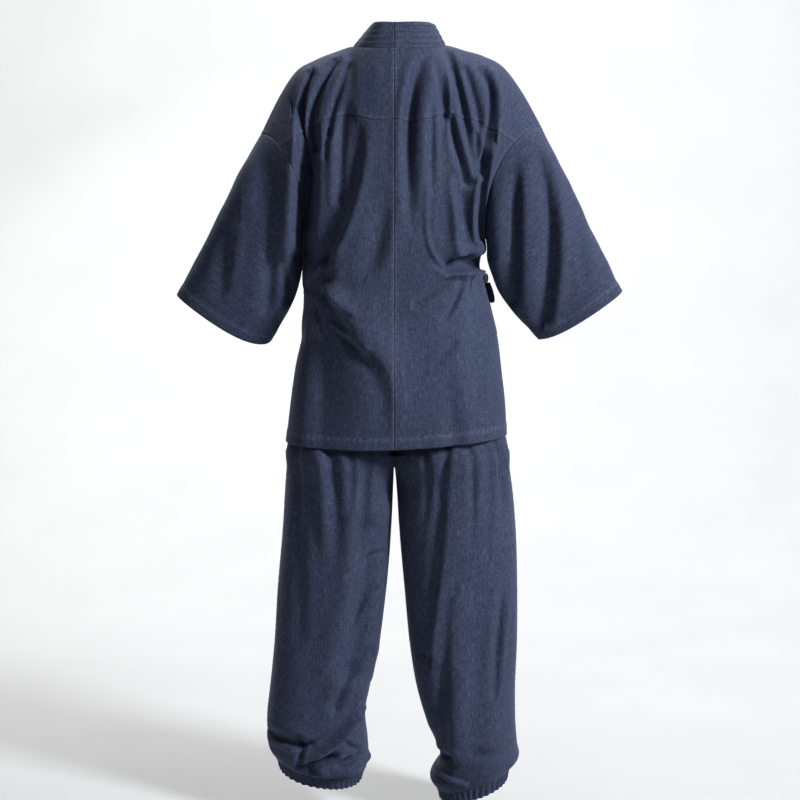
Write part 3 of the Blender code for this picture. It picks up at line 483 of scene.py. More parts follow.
def bell(off, width):
    """1 in the middle, falling softly to 0 on both sides."""
    return np.exp(-((off / width) ** 2))


def round_off(across, square):
    """The depth of a rounded section, as a share, at a share of its width."""
    return (1 - np.abs(across).clip(0, 1) ** square) ** (1 / square)


def squarer(wave, power):
    """A sine or cosine with flatter tops."""
    return np.sign(wave) * np.abs(wave) ** power


def points(x, y, z):
    return np.stack(np.broadcast_arrays(x, y, z), axis=-1)


def unit(vectors):
    return vectors / np.linalg.norm(vectors, axis=-1, keepdims=True).clip(1e-9)


def bend(start, middle, end, t):
    """A curve through three values."""
    return start * (1 - t) * (1 - 2 * t) + middle * 4 * t * (1 - t) + end * t * (2 * t - 1)


def body_ring(face, across, height):
    """A point of the jacket's body below the armpit."""
    half = sided(BODY, "left", "right", across, height)
    depth = smooth(BODY, face, height)
    share = np.sin(across * math.pi / 2)
    return points(half * share, FACING[face] * depth * round_off(share, BODY_SQUARE), height)


def hem_height(face, across):
    """The jacket's hem, lowest at the centre left of the back."""
    if face == "front":
        return HEM_HEIGHT + 0 * across
    sag = np.cos((across - HEM_LOWEST) * math.pi / 2) ** 2
    return HEM_HEIGHT - HEM_DOWN - HEM_TILT * across - HEM_SAG * sag


def jacket_point(face, across, level):
    """The jacket's body. Across runs from -1 at the right seam to 1 at the
    left, level from 0 at the hem over 1 at the armpit to 2 at the shoulder."""
    across, level = np.broadcast_arrays(across, level)
    side = np.where(across >= 0, 1, -1)
    part = np.abs(across)
    sign = FACING[face]
    low = hem_height(face, across)
    below = body_ring(face, across, low + (ARMPIT_HEIGHT - low) * np.clip(level, 0, 1))

    foot = body_ring(face, across, ARMPIT_HEIGHT + 0 * across)
    leave = points(0, sign * (0.02 + 0.18 * part**6), 0.33)
    top_x = sided(SHOULDER, "left", "right", across, part)
    top_y = smooth(SHOULDER, "depth", part)
    top_z = sided(SHOULDER, "left_height", "right_height", across, part)
    arrive = points(
        side * smooth(SHOULDER, "lean_x", part),
        sign * smooth(SHOULDER, "lean_y", part),
        smooth(SHOULDER, "lean_z", part),
    )
    if face == "front":
        neck = part < NECK_PART
        top_y = np.where(neck, smooth(NECK_FRONT, "depth", part), top_y)
        top_z = np.where(neck, smooth(NECK_FRONT, "height", part), top_z)
    top = points(side * top_x, top_y, top_z)
    t = np.clip(level - 1, 0, 1)[..., None]
    above = hermite(foot, leave, top, arrive, t)
    return np.where((level > 1)[..., None], above, below)


def sleeve_point(name, around, share):
    """A sleeve. Around runs from 0 at the outer fold over 0.25 at the back
    to 0.5 at the underarm, and share from 0 at the body to 1 at the cuff."""
    around, share = np.broadcast_arrays(around, share)
    side = SIDE[name]
    turn = around % 1
    behind = turn <= 0.5
    level = np.where(behind, 2 - 2 * turn, 2 * turn)
    seam = [jacket_point(face, side + 0 * turn, level) for face in ("back", "front")]
    rows = [np.where(behind[..., None], *seam)]
    cosine = np.cos(2 * math.pi * turn)
    sine = np.sin(2 * math.pi * turn)
    for _, out, over, inner, under, mid, back, front, drop in zip(*SLEEVE[name].values()):
        middle = np.array([(out + inner) / 2, (over + under) / 2])
        half = np.array([(out - inner) / 2, (over - under) / 2])
        along = np.array([half[1], -half[0]]) / np.hypot(*half)
        depth = np.where(sine > 0, back, front) * (1 + 0.28 * cosine)
        sag = drop * sine.clip(0, 1) * (1 - 0.7 * cosine)
        x = middle[0] + half[0] * cosine + along[0] * sag
        z = middle[1] + half[1] * cosine + along[1] * sag
        y = mid + np.sign(sine) * depth * round_off(cosine, SLEEVE_SQUARE)
        rows.append(points(side * x, y, z))
    keys = np.concatenate(([0], SLEEVE[name]["share"]))
    stack = np.stack(rows)
    rise = np.diff(stack, axis=0) / np.diff(keys)[:, None, None, None]
    slope = np.concatenate((rise[:1], (rise[1:] + rise[:-1]) / 2, rise[-1:]))
    row = np.clip(np.searchsorted(keys, share) - 1, 0, len(keys) - 2)
    span = np.diff(keys)[row]
    t = ((share - keys[row]) / span)[..., None]
    span = span[..., None]
    low = (row,) + tuple(np.indices(row.shape))
    high = (row + 1,) + low[1:]
    return hermite(stack[low], slope[low] * span, stack[high], slope[high] * span, t)


def leg_point(name, face, across, level):
    """A trouser leg. Across runs from 0 at the inseam or centre seam to 1 at
    the side seam, level from 0 at the hem over 1 at the crotch to 2."""
    across, level = np.broadcast_arrays(across, level)
    side = SIDE[name]
    sign = FACING[face]
    tab = LEG[name]
    hem = tab["height"][0]
    height = hem + (CROTCH_HEIGHT - hem) * np.clip(level, 0, 1)
    inner = smooth(tab, "in", height)
    outer = smooth(tab, "out", height)
    turn = -np.cos(across * math.pi)
    x = (inner + outer) / 2 + (outer - inner) / 2 * turn
    y = sign * smooth(tab, face, height) * round_off(turn, LEG_SQUARE)
    near_hem = ease(1 - (height - hem) / HEM_TIP_HEIGHT)
    tip_side, tip_back = HEM_TIP[name]
    tipped = height + near_hem * (tip_side * turn - tip_back * sign * round_off(turn, 2))
    lower = points(side * x, y, tipped)

    rise = np.clip(level - 1, 0, 1)
    high = CROTCH_HEIGHT + (WAIST_HEIGHT - CROTCH_HEIGHT) * rise
    share = np.sin(across * math.pi / 2)
    half = smooth(HIP, name, high)
    deep = smooth(HIP, face, high)
    upper = points(side * half * share, sign * deep * round_off(share, LEG_SQUARE), high)
    mix = ease(rise / CROTCH_BLEND)[..., None]
    lower[..., 2] = np.where(level > 1, high, lower[..., 2])
    return np.where((level > 1)[..., None], lower * (1 - mix) + upper * mix, lower)


def stand_point(name, part):
    """The collar's upper edge at a place from the neck's side to its back."""
    x = SIDE[name] * smooth(STAND, name, part)
    return points(x, smooth(STAND, "depth", part), smooth(STAND, "height", part))


def on_front(across, height, out):
    """A point off the right of the front, by its distance from the cloth."""
    level = np.array([(height - HEM_HEIGHT) / (ARMPIT_HEIGHT - HEM_HEIGHT)])
    place = jacket_point("front", np.array([across]), level)[0]
    ahead = jacket_point("front", np.array([across + 0.01]), level)[0]
    return place + unit(np.cross(ahead - place, (0.0, 0.0, 1.0))) * out


def vent(level):
    """How far a side edge is drawn back at the vent in the side seam."""
    return 1 - VENT_OPEN * ease((VENT_LEVEL - level) / 0.05)


def photo_place(column, row, behind):
    """X and height of a pixel of the photo, at a distance behind the middle."""
    place = np.array(CAMERA_PLACE)
    look = unit(np.array(CAMERA_AIM) - place)
    right = unit(np.cross(look, (0.0, 0.0, 1.0)))
    across = (column - PHOTO_HALF) / PHOTO_HALF * HALF_VIEW
    rise = (PHOTO_HALF - row) / PHOTO_HALF * HALF_VIEW
    ray = look + across * right + rise * np.cross(right, look)
    place = place + (behind - place[1]) / ray[1] * ray
    return float(place[0]), float(place[2] + HOLD_HEIGHT)


def photo_crease(behind, gain, kind, start, middle, end, toward, away, *depths):
    """A crease of the photo in metres, its line to the nearest millimetre."""
    pixel = (CAMERA_PLACE[1] - behind) * HALF_VIEW / PHOTO_HALF
    run_x = end[0] - start[0]
    run_y = end[1] - start[1]
    length = math.hypot(run_x, run_y)
    light_x, light_y = -run_y / length, run_x / length
    if light_x * TO_LIGHT[0] + light_y * TO_LIGHT[1] < 0:
        light_x, light_y = -light_x, -light_y
    off = MIDDLE_OFF * {"trough": -toward, "crest": away, "line": 0}[kind]
    places = [
        photo_place(x + off * light_x, y + off * light_y, behind)
        for x, y in (start, middle, end)
    ]
    (x0, z0), _, (x2, z2) = places
    to_light = (z2 - z0) * light_x > (x2 - x0) * light_y
    width = (toward + away) / 2
    lean = (toward / width - 1) / LEAN
    if kind == "line" or not to_light:
        lean = -lean
    sign = -1 if kind == "crest" else 1
    deep = [gain * sign * depth / 1000 for depth in depths]
    line = [round(size, 3) for place in places for size in place]
    return (*line, *(round(size, 4) for size in (width * pixel, *deep)), round(lean, 2))


CREASES = {
    face: [(*(size / 1000 for size in sizes), lean) for *sizes, lean in rows]
    for face, rows in HIDDEN_CREASES.items()
}
CREASES.update({
    face: [photo_crease(behind, gain, *row) for row in rows]
    for face, (behind, gain, rows) in PHOTO_CREASES.items()
})


def creases(face, place):
    """How far a face's creases push it in, from x and height. Each is a soft
    trough along its line between two ridges, steeper on one side."""
    x = place[..., 0]
    z = place[..., 2]
    depth = np.zeros_like(x)
    steps = np.linspace(0, 1, CREASE_STEPS + 1)
    for x0, z0, x1, z1, x2, z2, width, d0, d1, d2, lean in CREASES[face]:
        line_x = bend(x0, x1, x2, steps)
        line_z = bend(z0, z1, z2, steps)
        line_d = bend(d0, d1, d2, steps)
        reach = 4 * width
        near = (x > line_x.min() - reach) & (x < line_x.max() + reach)
        near &= (z > line_z.min() - reach) & (z < line_z.max() + reach)
        if not near.any():
            continue
        px = x[near][:, None]
        pz = z[near][:, None]
        run_x = np.diff(line_x)
        run_z = np.diff(line_z)
        along = (px - line_x[:-1]) * run_x + (pz - line_z[:-1]) * run_z
        along = np.clip(along / (run_x**2 + run_z**2), 0, 1)
        off_x = px - line_x[:-1] - along * run_x
        off_z = pz - line_z[:-1] - along * run_z
        apart = np.hypot(off_x, off_z)
        best = apart.argmin(axis=1)
        pick = (np.arange(len(best)), best)
        side = np.sign(run_x[best] * off_z[pick] - run_z[best] * off_x[pick])
        size = np.interp(best + along[pick], np.arange(len(steps)), line_d)
        wider = lean * side
        at = apart[pick] / (width * (1 + LEAN * wider))
        ridge = bell(at - RIDGE_PLACE, 1) * (RIDGE_SIZE - RIDGE_LEAN * wider)
        depth[near] += size * (bell(at, 1) - ridge)
    return depth


def ripple(u, v, size, seed):
    """An uneven soft swell of the cloth, from -1 to 1, with no hard edge."""
    total = 0
    for k in range(5):
        angle = 1.7 * k + 0.9 * seed
        pitch = size * (0.7 + 0.23 * k)
        wave = (u * math.cos(angle) + v * math.sin(angle)) / pitch
        total = total + np.sin(2 * math.pi * wave + 2.3 * k + seed)
    return total / 3.2


def from_body(grid):
    """The direction away from the trunk's middle line."""
    return grid * np.array([1.0, 1.6, 0.0]) + np.array([0.0, 0.0, 0.02])


def from_neck(grid):
    """The direction away from the neck's middle line."""
    return grid - points(0.0, -0.02, grid[..., 2])


def from_leg(name):
    """The direction away from a leg's middle line."""
    return lambda grid: grid - points(SIDE[name] * 0.13, 0.0, grid[..., 2])


def from_arm(name):
    """The direction away from a sleeve's middle line."""

    def outward(grid):
        drop = (1.30 - grid[..., 2]).clip(0, 0.4)
        return grid - points(SIDE[name] * (0.20 + 0.42 * drop), -0.01, grid[..., 2])

    return outward


def steps_along(grid, axis):
    """The distance run along the rows or columns of a grid."""
    step = np.linalg.norm(np.diff(grid, axis=axis), axis=-1)
    zero = np.zeros_like(np.take(step, [0], axis=axis))
    return np.concatenate((zero, np.cumsum(step, axis=axis)), axis=axis)


def directions(grid, outward, closed=False):
    """The surface's direction at each point of a grid."""
    if closed:
        across = np.roll(grid, -1, axis=1) - np.roll(grid, 1, axis=1)
    else:
        across = np.gradient(grid, axis=1)
    normal = unit(np.cross(across, np.gradient(grid, axis=0)))
    return normal * (np.sign((normal * outward(grid)).sum()) or 1)


def new_mesh(name, place, faces):
    """A mesh from places above the ground and faces with as many corners each."""
    mesh = bpy.data.meshes.new(name)
    place = place - np.array([0, 0, HOLD_HEIGHT])
    mesh.vertices.add(len(place))
    mesh.vertices.foreach_set("co", np.asarray(place, np.float32).ravel())
    mesh.loops.add(faces.size)
    mesh.loops.foreach_set("vertex_index", np.asarray(faces, np.int32).ravel())
    mesh.polygons.add(len(faces))
    size = faces.shape[1]
    mesh.polygons.foreach_set("loop_start", np.arange(0, faces.size, size, dtype=np.int32))
    mesh.polygons.foreach_set("loop_total", np.full(len(faces), size, np.int32))
    mesh.update(calc_edges=True)
    mesh.validate()
    mesh.shade_smooth()
    return mesh


def show(name, mesh):
    """A piece of the object, riding on its one body."""
    obj = bpy.data.objects.new(name, mesh)
    bpy.context.scene.collection.objects.link(obj)
    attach(obj, "root")
    return obj


def cloth_piece(name, mesh, slot, across, along, seam):
    """A piece in a node's place. The weave follows the runs across and along
    the cloth, and its wear the distance from the nearest seam."""
    corner = np.zeros(len(mesh.loops), np.int32)
    mesh.loops.foreach_get("vertex_index", corner)
    layer = mesh.uv_layers.new(name="cloth")
    layer.data.foreach_set("uv", np.stack((across, along), -1)[corner].ravel())
    wear = mesh.attributes.new("seam", "FLOAT", "POINT")
    wear.data.foreach_set("value", seam.astype(np.float32))
    mesh.materials.append(MATERIALS[slot])
    obj = show("cloth_" + name, mesh)
    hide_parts(name)
    return obj


class Shell:
    """A fine sheet of cloth as a grid, with what each of its edges is: hem,
    fell (a seam stitched flat on this side) or seam. Others are plain."""

    def __init__(self, name, grid, outward, edges, closed=False, wall=CLOTH, slot="denim"):
        self.name = name
        self.closed = closed
        self.wall = wall
        self.slot = slot
        self.edges = edges
        self.rows_sewn = ()
        self.along = steps_along(grid, 0)
        self.across = steps_along(grid, 1)
        self.normal = directions(grid, outward, closed)
        self.grid = self.dressed(grid)

    def distance(self, edge):
        """How far each point is from one of the edges."""
        if edge == "low":
            return self.along
        if edge == "high":
            return self.along[-1:] - self.along
        if edge == "start":
            return self.across
        return self.across[:, -1:] - self.across

    def wear(self, gap):
        self.seam = np.minimum(self.seam, gap)

    def dressed(self, grid):
        """The grid with its hems and flat seams standing a little proud."""
        proud = np.zeros(grid.shape[:2])
        self.thick = np.full(grid.shape[:2], self.wall)
        self.seam = np.full(grid.shape[:2], UNWORN)
        for edge, kind in self.edges.items():
            gap = self.distance(edge)
            run = self.across if edge in ("low", "high") else self.along
            rise = ease(gap / 0.003)
            if kind == "hem":
                band = ease((HEM_BAND + 0.0015 - gap) / 0.003)
                off = gap - HEM_STITCH
                proud = np.maximum(proud, band * HEM_EXTRA) - bell(off, GROOVE_WIDTH) * GROOVE
                self.thick += band * HEM_EXTRA
                pull = bell(off, 0.007)
                rise = 1.0
                self.wear(np.abs(off) + 0.002)
            elif kind == "fell":
                band = ease((SEWN_BAND + 0.001 - gap) / 0.002)
                proud = np.maximum(proud, band * FELL_EXTRA)
                pull = bell(gap - SEWN_BAND / 2, PUCKER_REACH)
                self.wear(gap)
            else:
                pull = bell(gap, PUCKER_REACH)
                self.wear(gap)
            turn = run * 2 * math.pi
            pucker = np.sin(turn / PUCKER_PITCH + 1.3 * np.sin(turn / PUCKER_DRIFT))
            proud = proud + pucker * pull * rise * PUCKER
        return grid + self.normal * proud[..., None]

    def spot(self, row, column):
        """The place and direction of the surface between its grid points."""
        rows, columns = self.grid.shape[:2]
        row = np.clip(row, 0, rows - 1)
        low = np.minimum(np.floor(row).astype(int), rows - 2)
        t = (row - low)[:, None]
        if self.closed:
            left = np.floor(column).astype(int) % columns
            right = (left + 1) % columns
            s = (column - np.floor(column))[:, None]
        else:
            column = np.clip(column, 0, columns - 1)
            left = np.minimum(np.floor(column).astype(int), columns - 2)
            right = left + 1
            s = (column - left)[:, None]
        found = []
        for field in (self.grid, self.normal):
            near = field[low, left] * (1 - s) + field[low, right] * s
            far = field[low + 1, left] * (1 - s) + field[low + 1, right] * s
            found.append(near * (1 - t) + far * t)
        return found

    def line(self, edge, gap):
        """The run of points that lie at a distance from one edge."""
        away = self.distance(edge)
        level = edge in ("low", "high")
        if level:
            away = away.T
            if self.closed:
                away = np.concatenate((away, away[:1]))
        order = slice(None, None, 1 if edge in ("low", "start") else -1)
        steps = np.arange(away.shape[1])[order]
        found = np.array([np.interp(gap, values[order], steps) for values in away])
        beside = np.arange(len(away), dtype=float)
        return self.spot(found, beside) if level else self.spot(beside, found)

    def quilt(self, rows):
        """Rows of stitching that draw a band in, with soft ridges between."""
        gap = self.distance("start")
        push = np.zeros_like(gap)
        for at in rows:
            push -= 0.0009 * bell(gap - at, GROOVE_WIDTH)
            ridges = np.sin(self.along * 2 * math.pi / 0.009 + 40 * at)
            push += 0.00025 * bell(gap - at, 0.004) * ridges
            self.wear(np.abs(gap - at) + 0.0035)
        push -= 0.0007 * bell(np.minimum(gap, self.distance("end")), 0.0012)
        self.grid = self.grid + self.normal * push[..., None]
        self.rows_sewn = rows

    def build(self):
        """The mesh of the cloth: its face, its inside and its edges."""
        rows, columns = self.grid.shape[:2]
        count = rows * columns
        inner = self.grid - self.normal * self.thick[..., None]
        place = np.concatenate((self.grid.reshape(-1, 3), inner.reshape(-1, 3)))
        index = np.arange(count).reshape(rows, columns)
        if self.closed:
            here, ahead = index, np.roll(index, -1, axis=1)
            rims = []
        else:
            here, ahead = index[:, :-1], index[:, 1:]
            rims = [(index[:-1, 0], index[1:, 0], -1), (index[:-1, -1], index[1:, -1], 1)]
        quads = np.stack((here[:-1], ahead[:-1], ahead[1:], here[1:]), -1).reshape(-1, 4)
        faces = [quads, quads[:, ::-1] + count]
        for one, two, turn in [(here[0], ahead[0], 1), (here[-1], ahead[-1], -1)] + rims:
            faces.append(np.stack((one, two, two + count, one + count), -1)[:, ::-turn])
        faces = np.concatenate(faces)
        inside = np.zeros(len(faces), np.int32)
        inside[len(quads) : 2 * len(quads)] = 1
        a, b, c = (place[quads[:, k]] for k in range(3))
        normal = self.normal.reshape(-1, 3)[quads[:, 0]]
        if (np.cross(b - a, c - a) * normal).sum() < 0:
            faces = faces[:, ::-1]
        mesh = new_mesh("cloth_" + self.name, place, faces)
        mesh.polygons.foreach_set("material_index", inside)
        u = np.tile(self.across.mean(axis=0), 2 * rows)
        v = np.tile(np.repeat(self.along.mean(axis=1), columns), 2)
        if self.name.startswith("sleeve"):
            u, v = v, u
        seam = np.tile(self.seam.ravel(), 2)
        self.obj = cloth_piece(self.name, mesh, self.slot, u, v, seam)
        mesh.materials.append(MATERIALS["inside"])

    def declare(self, held):
        """The cut of this piece: its widest and longest runs and its area."""
        across = self.across[:, -1]
        if self.closed:
            across = across + np.linalg.norm(self.grid[:, 0] - self.grid[:, -1], axis=-1)
        width = float(across.max())
        length = float(self.along[-1].max())
        rise = np.diff(self.along.mean(axis=1))
        area = float(((across[1:] + across[:-1]) / 2 * rise).sum())
        area = min(area, width * length)
        print(f"cut {self.name}: {width:.3f} x {length:.3f} m, {area:.3f} m2")

    def thread_lines(self):
        """The lines of thread on this piece."""
        lines = [("start", gap) for gap in self.rows_sewn]
        for edge, kind in self.edges.items():
            if kind == "hem":
                lines.append((edge, HEM_STITCH))
            elif kind == "fell":
                lines += [(edge, gap) for gap in FELL_STITCHES]
        return [self.line(edge, gap) for edge, gap in lines]


class Nodes:
    """A short way to write a material's nodes."""

    def __init__(self, name):
        self.material = bpy.data.materials.new(name)
        self.material.use_nodes = True
        self.tree = self.material.node_tree
        self.shader = self.tree.nodes["Principled BSDF"]

    def feed(self, node, inputs):
        """Set or link a node's inputs, by name or number."""
        for key, value in inputs.items():
            if isinstance(value, bpy.types.NodeSocket):
                self.tree.links.new(value, node.inputs[key])
            else:
                node.inputs[key].default_value = value
        return node.outputs[0]

    def add(self, kind, inputs, **values):
        node = self.tree.nodes.new("ShaderNode" + kind)
        for key, value in values.items():
            setattr(node, key, value)
        return self.feed(node, inputs)

    def object_place(self):
        return self.tree.nodes.new("ShaderNodeTexCoord").outputs["Object"]

    def maths(self, operation, *values):
        return self.add("Math", dict(enumerate(values)), operation=operation)

    def times(self, first, second):
        return self.maths("MULTIPLY", first, second)

    def plus(self, first, second):
        return self.maths("ADD", first, second)

    def noise(self, vector, scale, detail=2.0, rough=0.5):
        """Noise on a vector stretched by its own scale along each axis."""
        stretched = self.add("Mapping", {"Scale": scale, "Vector": vector})
        values = {"Scale": 1.0, "Detail": detail, "Roughness": rough, "Vector": stretched}
        return self.add("TexNoise", values)

    def ramp(self, value, *stops):
        node = self.tree.nodes.new("ShaderNodeValToRGB")
        elements = node.color_ramp.elements
        while len(elements) < len(stops):
            elements.new(0.5)
        for element, (at, colour) in zip(elements, stops):
            element.position = at
            element.color = (*colour, 1.0)
        return self.feed(node, {0: value})


def denim(name, dark, middle, light, worn):
    """Indigo denim: slubbed warp, paler weft showing through, worn seams."""
    n = Nodes(name)
    uv = n.add("UVMap", {}, uv_map="cloth")
    slub = n.noise(uv, (800, 75, 1), 3.0, 0.7)
    weft = n.noise(uv, (70, 640, 1), 2.0, 0.6)
    tones = (
        (slub, 1.3),
        (n.noise(uv, (420, 16, 1), 2.0, 0.6), 0.45),
        (weft, 0.6),
        (n.noise(uv, (1300, 900, 1), 1.0), 1.5),
        (n.noise(n.object_place(), (6, 6, 4), 3.0, 0.6), 0.16),
    )
    total, *others = (n.times(n.maths("SUBTRACT", tone, 0.5), share) for tone, share in tones)
    for other in (*others, 0.5):
        total = n.plus(total, other)
    colour = n.ramp(total, (0.1, dark), (0.5, middle), (0.92, light))

    seam = n.tree.nodes.new("ShaderNodeAttribute")
    seam.attribute_name = "seam"
    near = n.add(
        "MapRange",
        {"From Min": 0.0095, "From Max": 0.0015, "Value": seam.outputs["Fac"]},
        interpolation_type="SMOOTHSTEP",
    )
    rub = n.noise(uv, (150, 150, 1), 2.0, 0.7)
    rub = n.times(n.times(n.maths("SUBTRACT", rub, 0.38), 2.6), near)
    share = n.times(n.add("Clamp", {0: rub}), 0.55)
    mix = n.tree.nodes.new("ShaderNodeMix")
    mix.data_type = "RGBA"
    n.feed(mix, {0: share, 6: colour, 7: (*worn, 1.0)})

    twill = n.tree.nodes.new("ShaderNodeTexWave")
    twill.wave_type = "BANDS"
    twill.bands_direction = "DIAGONAL"
    n.feed(twill, {"Scale": 210.0, "Distortion": 1.5, "Detail": 1.0, "Vector": uv})
    height = n.plus(n.times(slub, 0.8), n.times(weft, 0.35))
    height = n.plus(height, n.times(twill.outputs["Fac"], 0.25))
    n.feed(n.shader, {
        "Base Color": mix.outputs[2],
        "Roughness": n.plus(n.times(slub, 0.16), 0.74),
        "Specular IOR Level": 0.22,
        "Sheen Weight": 0.10,
        "Sheen Roughness": 0.45,
        "Sheen Tint": (0.55, 0.65, 0.9, 1.0),
        "Normal": n.add("Bump", {"Strength": 0.5, "Distance": 0.0006, "Height": height}),
    })
    return n.material


def toned(name, scale, rough, low, high):
    """A plain material between two tones. Each is a colour."""
    n = Nodes(name)
    tone = n.noise(n.object_place(), (scale,) * 3, 2.0)
    n.feed(n.shader, {"Base Color": n.ramp(tone, (0.3, low), (0.7, high)), "Roughness": rough})
    return n.material


# Of each denim: the tone of its darkest and middle threads, of its palest
# threads, and of its worn seams. The inside is the paler wrong side.
DENIMS = {
    "denim": ((0.011, 0.014, 0.032), (0.030, 0.039, 0.080),
              (0.098, 0.120, 0.190), (0.130, 0.148, 0.200)),
    "band": ((0.010, 0.013, 0.030), (0.028, 0.036, 0.075),
             (0.092, 0.112, 0.178), (0.130, 0.148, 0.200)),
    "tie": ((0.009, 0.012, 0.030), (0.022, 0.030, 0.066),
            (0.060, 0.076, 0.130), (0.10, 0.115, 0.165)),
    "inside": ((0.055, 0.066, 0.100), (0.105, 0.122, 0.170),
               (0.210, 0.232, 0.290), (0.22, 0.24, 0.29)),
}
MATERIALS = {name: denim(name, *tones) for name, tones in DENIMS.items()}
MATERIALS["thread"] = toned("thread", 60, 0.6, (0.030, 0.036, 0.062), (0.085, 0.095, 0.135))


def jacket_cloth(face, across, level, lift=0.0):
    """The jacket's body with its creases, and the front that laps over lifted."""
    across, level = np.broadcast_arrays(across, level)
    grid = jacket_point(face, across, level)
    step = NORMAL_STEP
    low = np.clip(level, 0, 2 - step)
    inner = across * (1 - step)
    along = jacket_point(face, inner + step, low) - jacket_point(face, inner - step, low)
    rise = jacket_point(face, inner, low + step) - jacket_point(face, inner, low - step)
    normal = unit(np.cross(along, rise)) * -FACING[face]
    part = np.abs(across)
    top = ease((2 - level) / SHOULDER_FADE)
    reach = SEAM_FADE + (ARMHOLE_FADE - SEAM_FADE) * ease((level - 0.90) / 0.15)
    push = creases(face, grid) * (ease((1 - part) / reach) * top)
    lap = ease((LAP_SIDE - across) / LAP_SIDE_FADE) * ease((LAP_TOP - level) / LAP_TOP_FADE)
    cloth = grid - normal * (push - lift * lap)[..., None]
    if face == "back":
        below = 1 - ease((level - 1) / 0.12)
        fade = (1 - below * (1 - ease((1 - part) / 0.06))) * top
        cloth[..., 1] -= creases("armhole", grid) * fade
    return cloth


def back_shells(name):
    """The back and its yoke, from the centre seam out to the side."""
    neck = np.linspace(0, NECK_PART, NECK_COLUMNS + 1)
    shoulder = np.linspace(NECK_PART, 1, SHOULDER_COLUMNS + 1)
    part = np.concatenate((neck, shoulder[1:]))[None, :]
    lower = np.linspace(0, 1, LOWER_ROWS + 1)[:, None] + 0 * part
    edge = smooth(YOKE_EDGE, "level", part)
    below = np.linspace(0, 1, BACK_ROWS + 1)[1:, None]
    above = np.linspace(0, 1, YOKE_ROWS + 1)[:, None]
    body = np.concatenate((lower, 1 + (edge - 1) * below))
    yoke = edge + (2 - edge) * above
    centre = "fell" if name == "left" else "seam"
    shells = []
    for piece, level, bottom in (("back", body, "hem"), ("yoke", yoke, "fell")):
        grid = jacket_cloth("back", SIDE[name] * part * vent(level), level)
        edges = {"low": bottom, "start": centre, "end": "seam"}
        shells.append(Shell(f"{piece}_{name}", grid, from_body, edges))
    return shells


def front_rows():
    """The rows of the fronts."""
    upper = 1 + np.linspace(0, 1, UPPER_ROWS + 1)[1:]
    return np.concatenate((np.linspace(0, 1, LOWER_ROWS + 1), upper))[:, None]


def front_shell(name, lift):
    """A front from its side in to the edge that carries the collar band."""
    level = front_rows()
    edge = smooth(FRONT_EDGE, "across", level)
    share = np.linspace(0, 1, SHOULDER_COLUMNS + 1)[None, :]
    start = vent(level)
    grid = jacket_cloth("front", SIDE[name] * (start + (edge - start) * share), level, lift)
    edges = {"low": "hem", "start": "seam", "end": "seam"}
    return Shell(f"front_{name}", grid, from_body, edges)


def collar_shell(name, lift):
    """Half of the collar band, from the front hem up round the neck."""
    side = SIDE[name]
    width = np.linspace(0, 1, COLLAR_COLUMNS + 1)[None, :]
    level = front_rows()
    edge = smooth(FRONT_EDGE, "across", level)
    step = 0.02
    sewn = jacket_cloth("front", side * edge, level, lift)
    ahead = jacket_cloth("front", side * (edge - step), level, lift)
    reach = COLLAR_WIDTH / (np.linalg.norm(ahead - sewn, axis=-1) / step)
    flat = jacket_cloth("front", side * (edge - width * reach), level, lift)
    width = width[..., None]
    stand = stand_point(name, np.array([[NECK_PART]]))[0, 0]
    neck = jacket_point("front", np.array([side * NECK_PART]), np.array([2.0]))[0]
    mix = ease((2 - level) / 0.5)[..., None]
    front = (sewn + (stand - neck) * width) * (1 - mix) + flat * mix
    part = np.linspace(NECK_PART, 0, COLLAR_BACK_ROWS + 1)[1:, None]
    seam = jacket_point("back", side * part, 2 + 0 * part)
    back = seam * (1 - width) + stand_point(name, part) * width
    grid = np.concatenate((front, back))
    shell = Shell(f"collar_{name}", grid, from_neck, {}, wall=BAND_WALL, slot="band")
    shell.quilt(COLLAR_ROWS)
    return shell


def sleeve_shell(name):
    """A sleeve, from the seam to the body down to its cuff."""
    around = np.arange(SLEEVE_COLUMNS)[None, :] / SLEEVE_COLUMNS
    share = np.linspace(0, 1, SLEEVE_ROWS + 1)[:, None]
    grid = sleeve_point(name, around, share)
    fade = ease((1 - 2 * around) / SLEEVE_FADE) * ease(2 * around / SLEEVE_FADE)
    pushed = creases("armhole", grid) * fade * (around < 0.5)
    at, reach, tuck = UNDERARM[name]
    near = bell(share - at, reach) * ease(share / 0.06)
    under = ((1 - np.cos(2 * math.pi * around)) / 2) ** 4
    ahead = bell(around - TUCK_PLACE, TUCK_WIDTH)
    grid[..., 0] -= SIDE[name] * near * (tuck * under + FRONT_TUCK * ahead)
    outward = from_arm(name)
    normal = directions(grid, outward, closed=True)
    front = creases("sleeve_front", grid)
    depth = np.where(around <= 0.5, creases("sleeve_back", grid), front)
    depth = depth * ease(np.abs(np.sin(2 * math.pi * around)) / 0.35) * ease(share / 0.15)
    seed = 3 if name == "left" else 5
    soft = ripple(grid[..., 0] + grid[..., 1], grid[..., 2], 0.085, seed)
    depth = depth + soft * SOFT_SWELL * ease(share / 0.2) * ease((1 - share) / 0.1)
    grid = grid - normal * depth[..., None]
    grid[..., 1] -= pushed
    return Shell(f"sleeve_{name}", grid, outward, {"low": "seam", "high": "hem"}, closed=True)


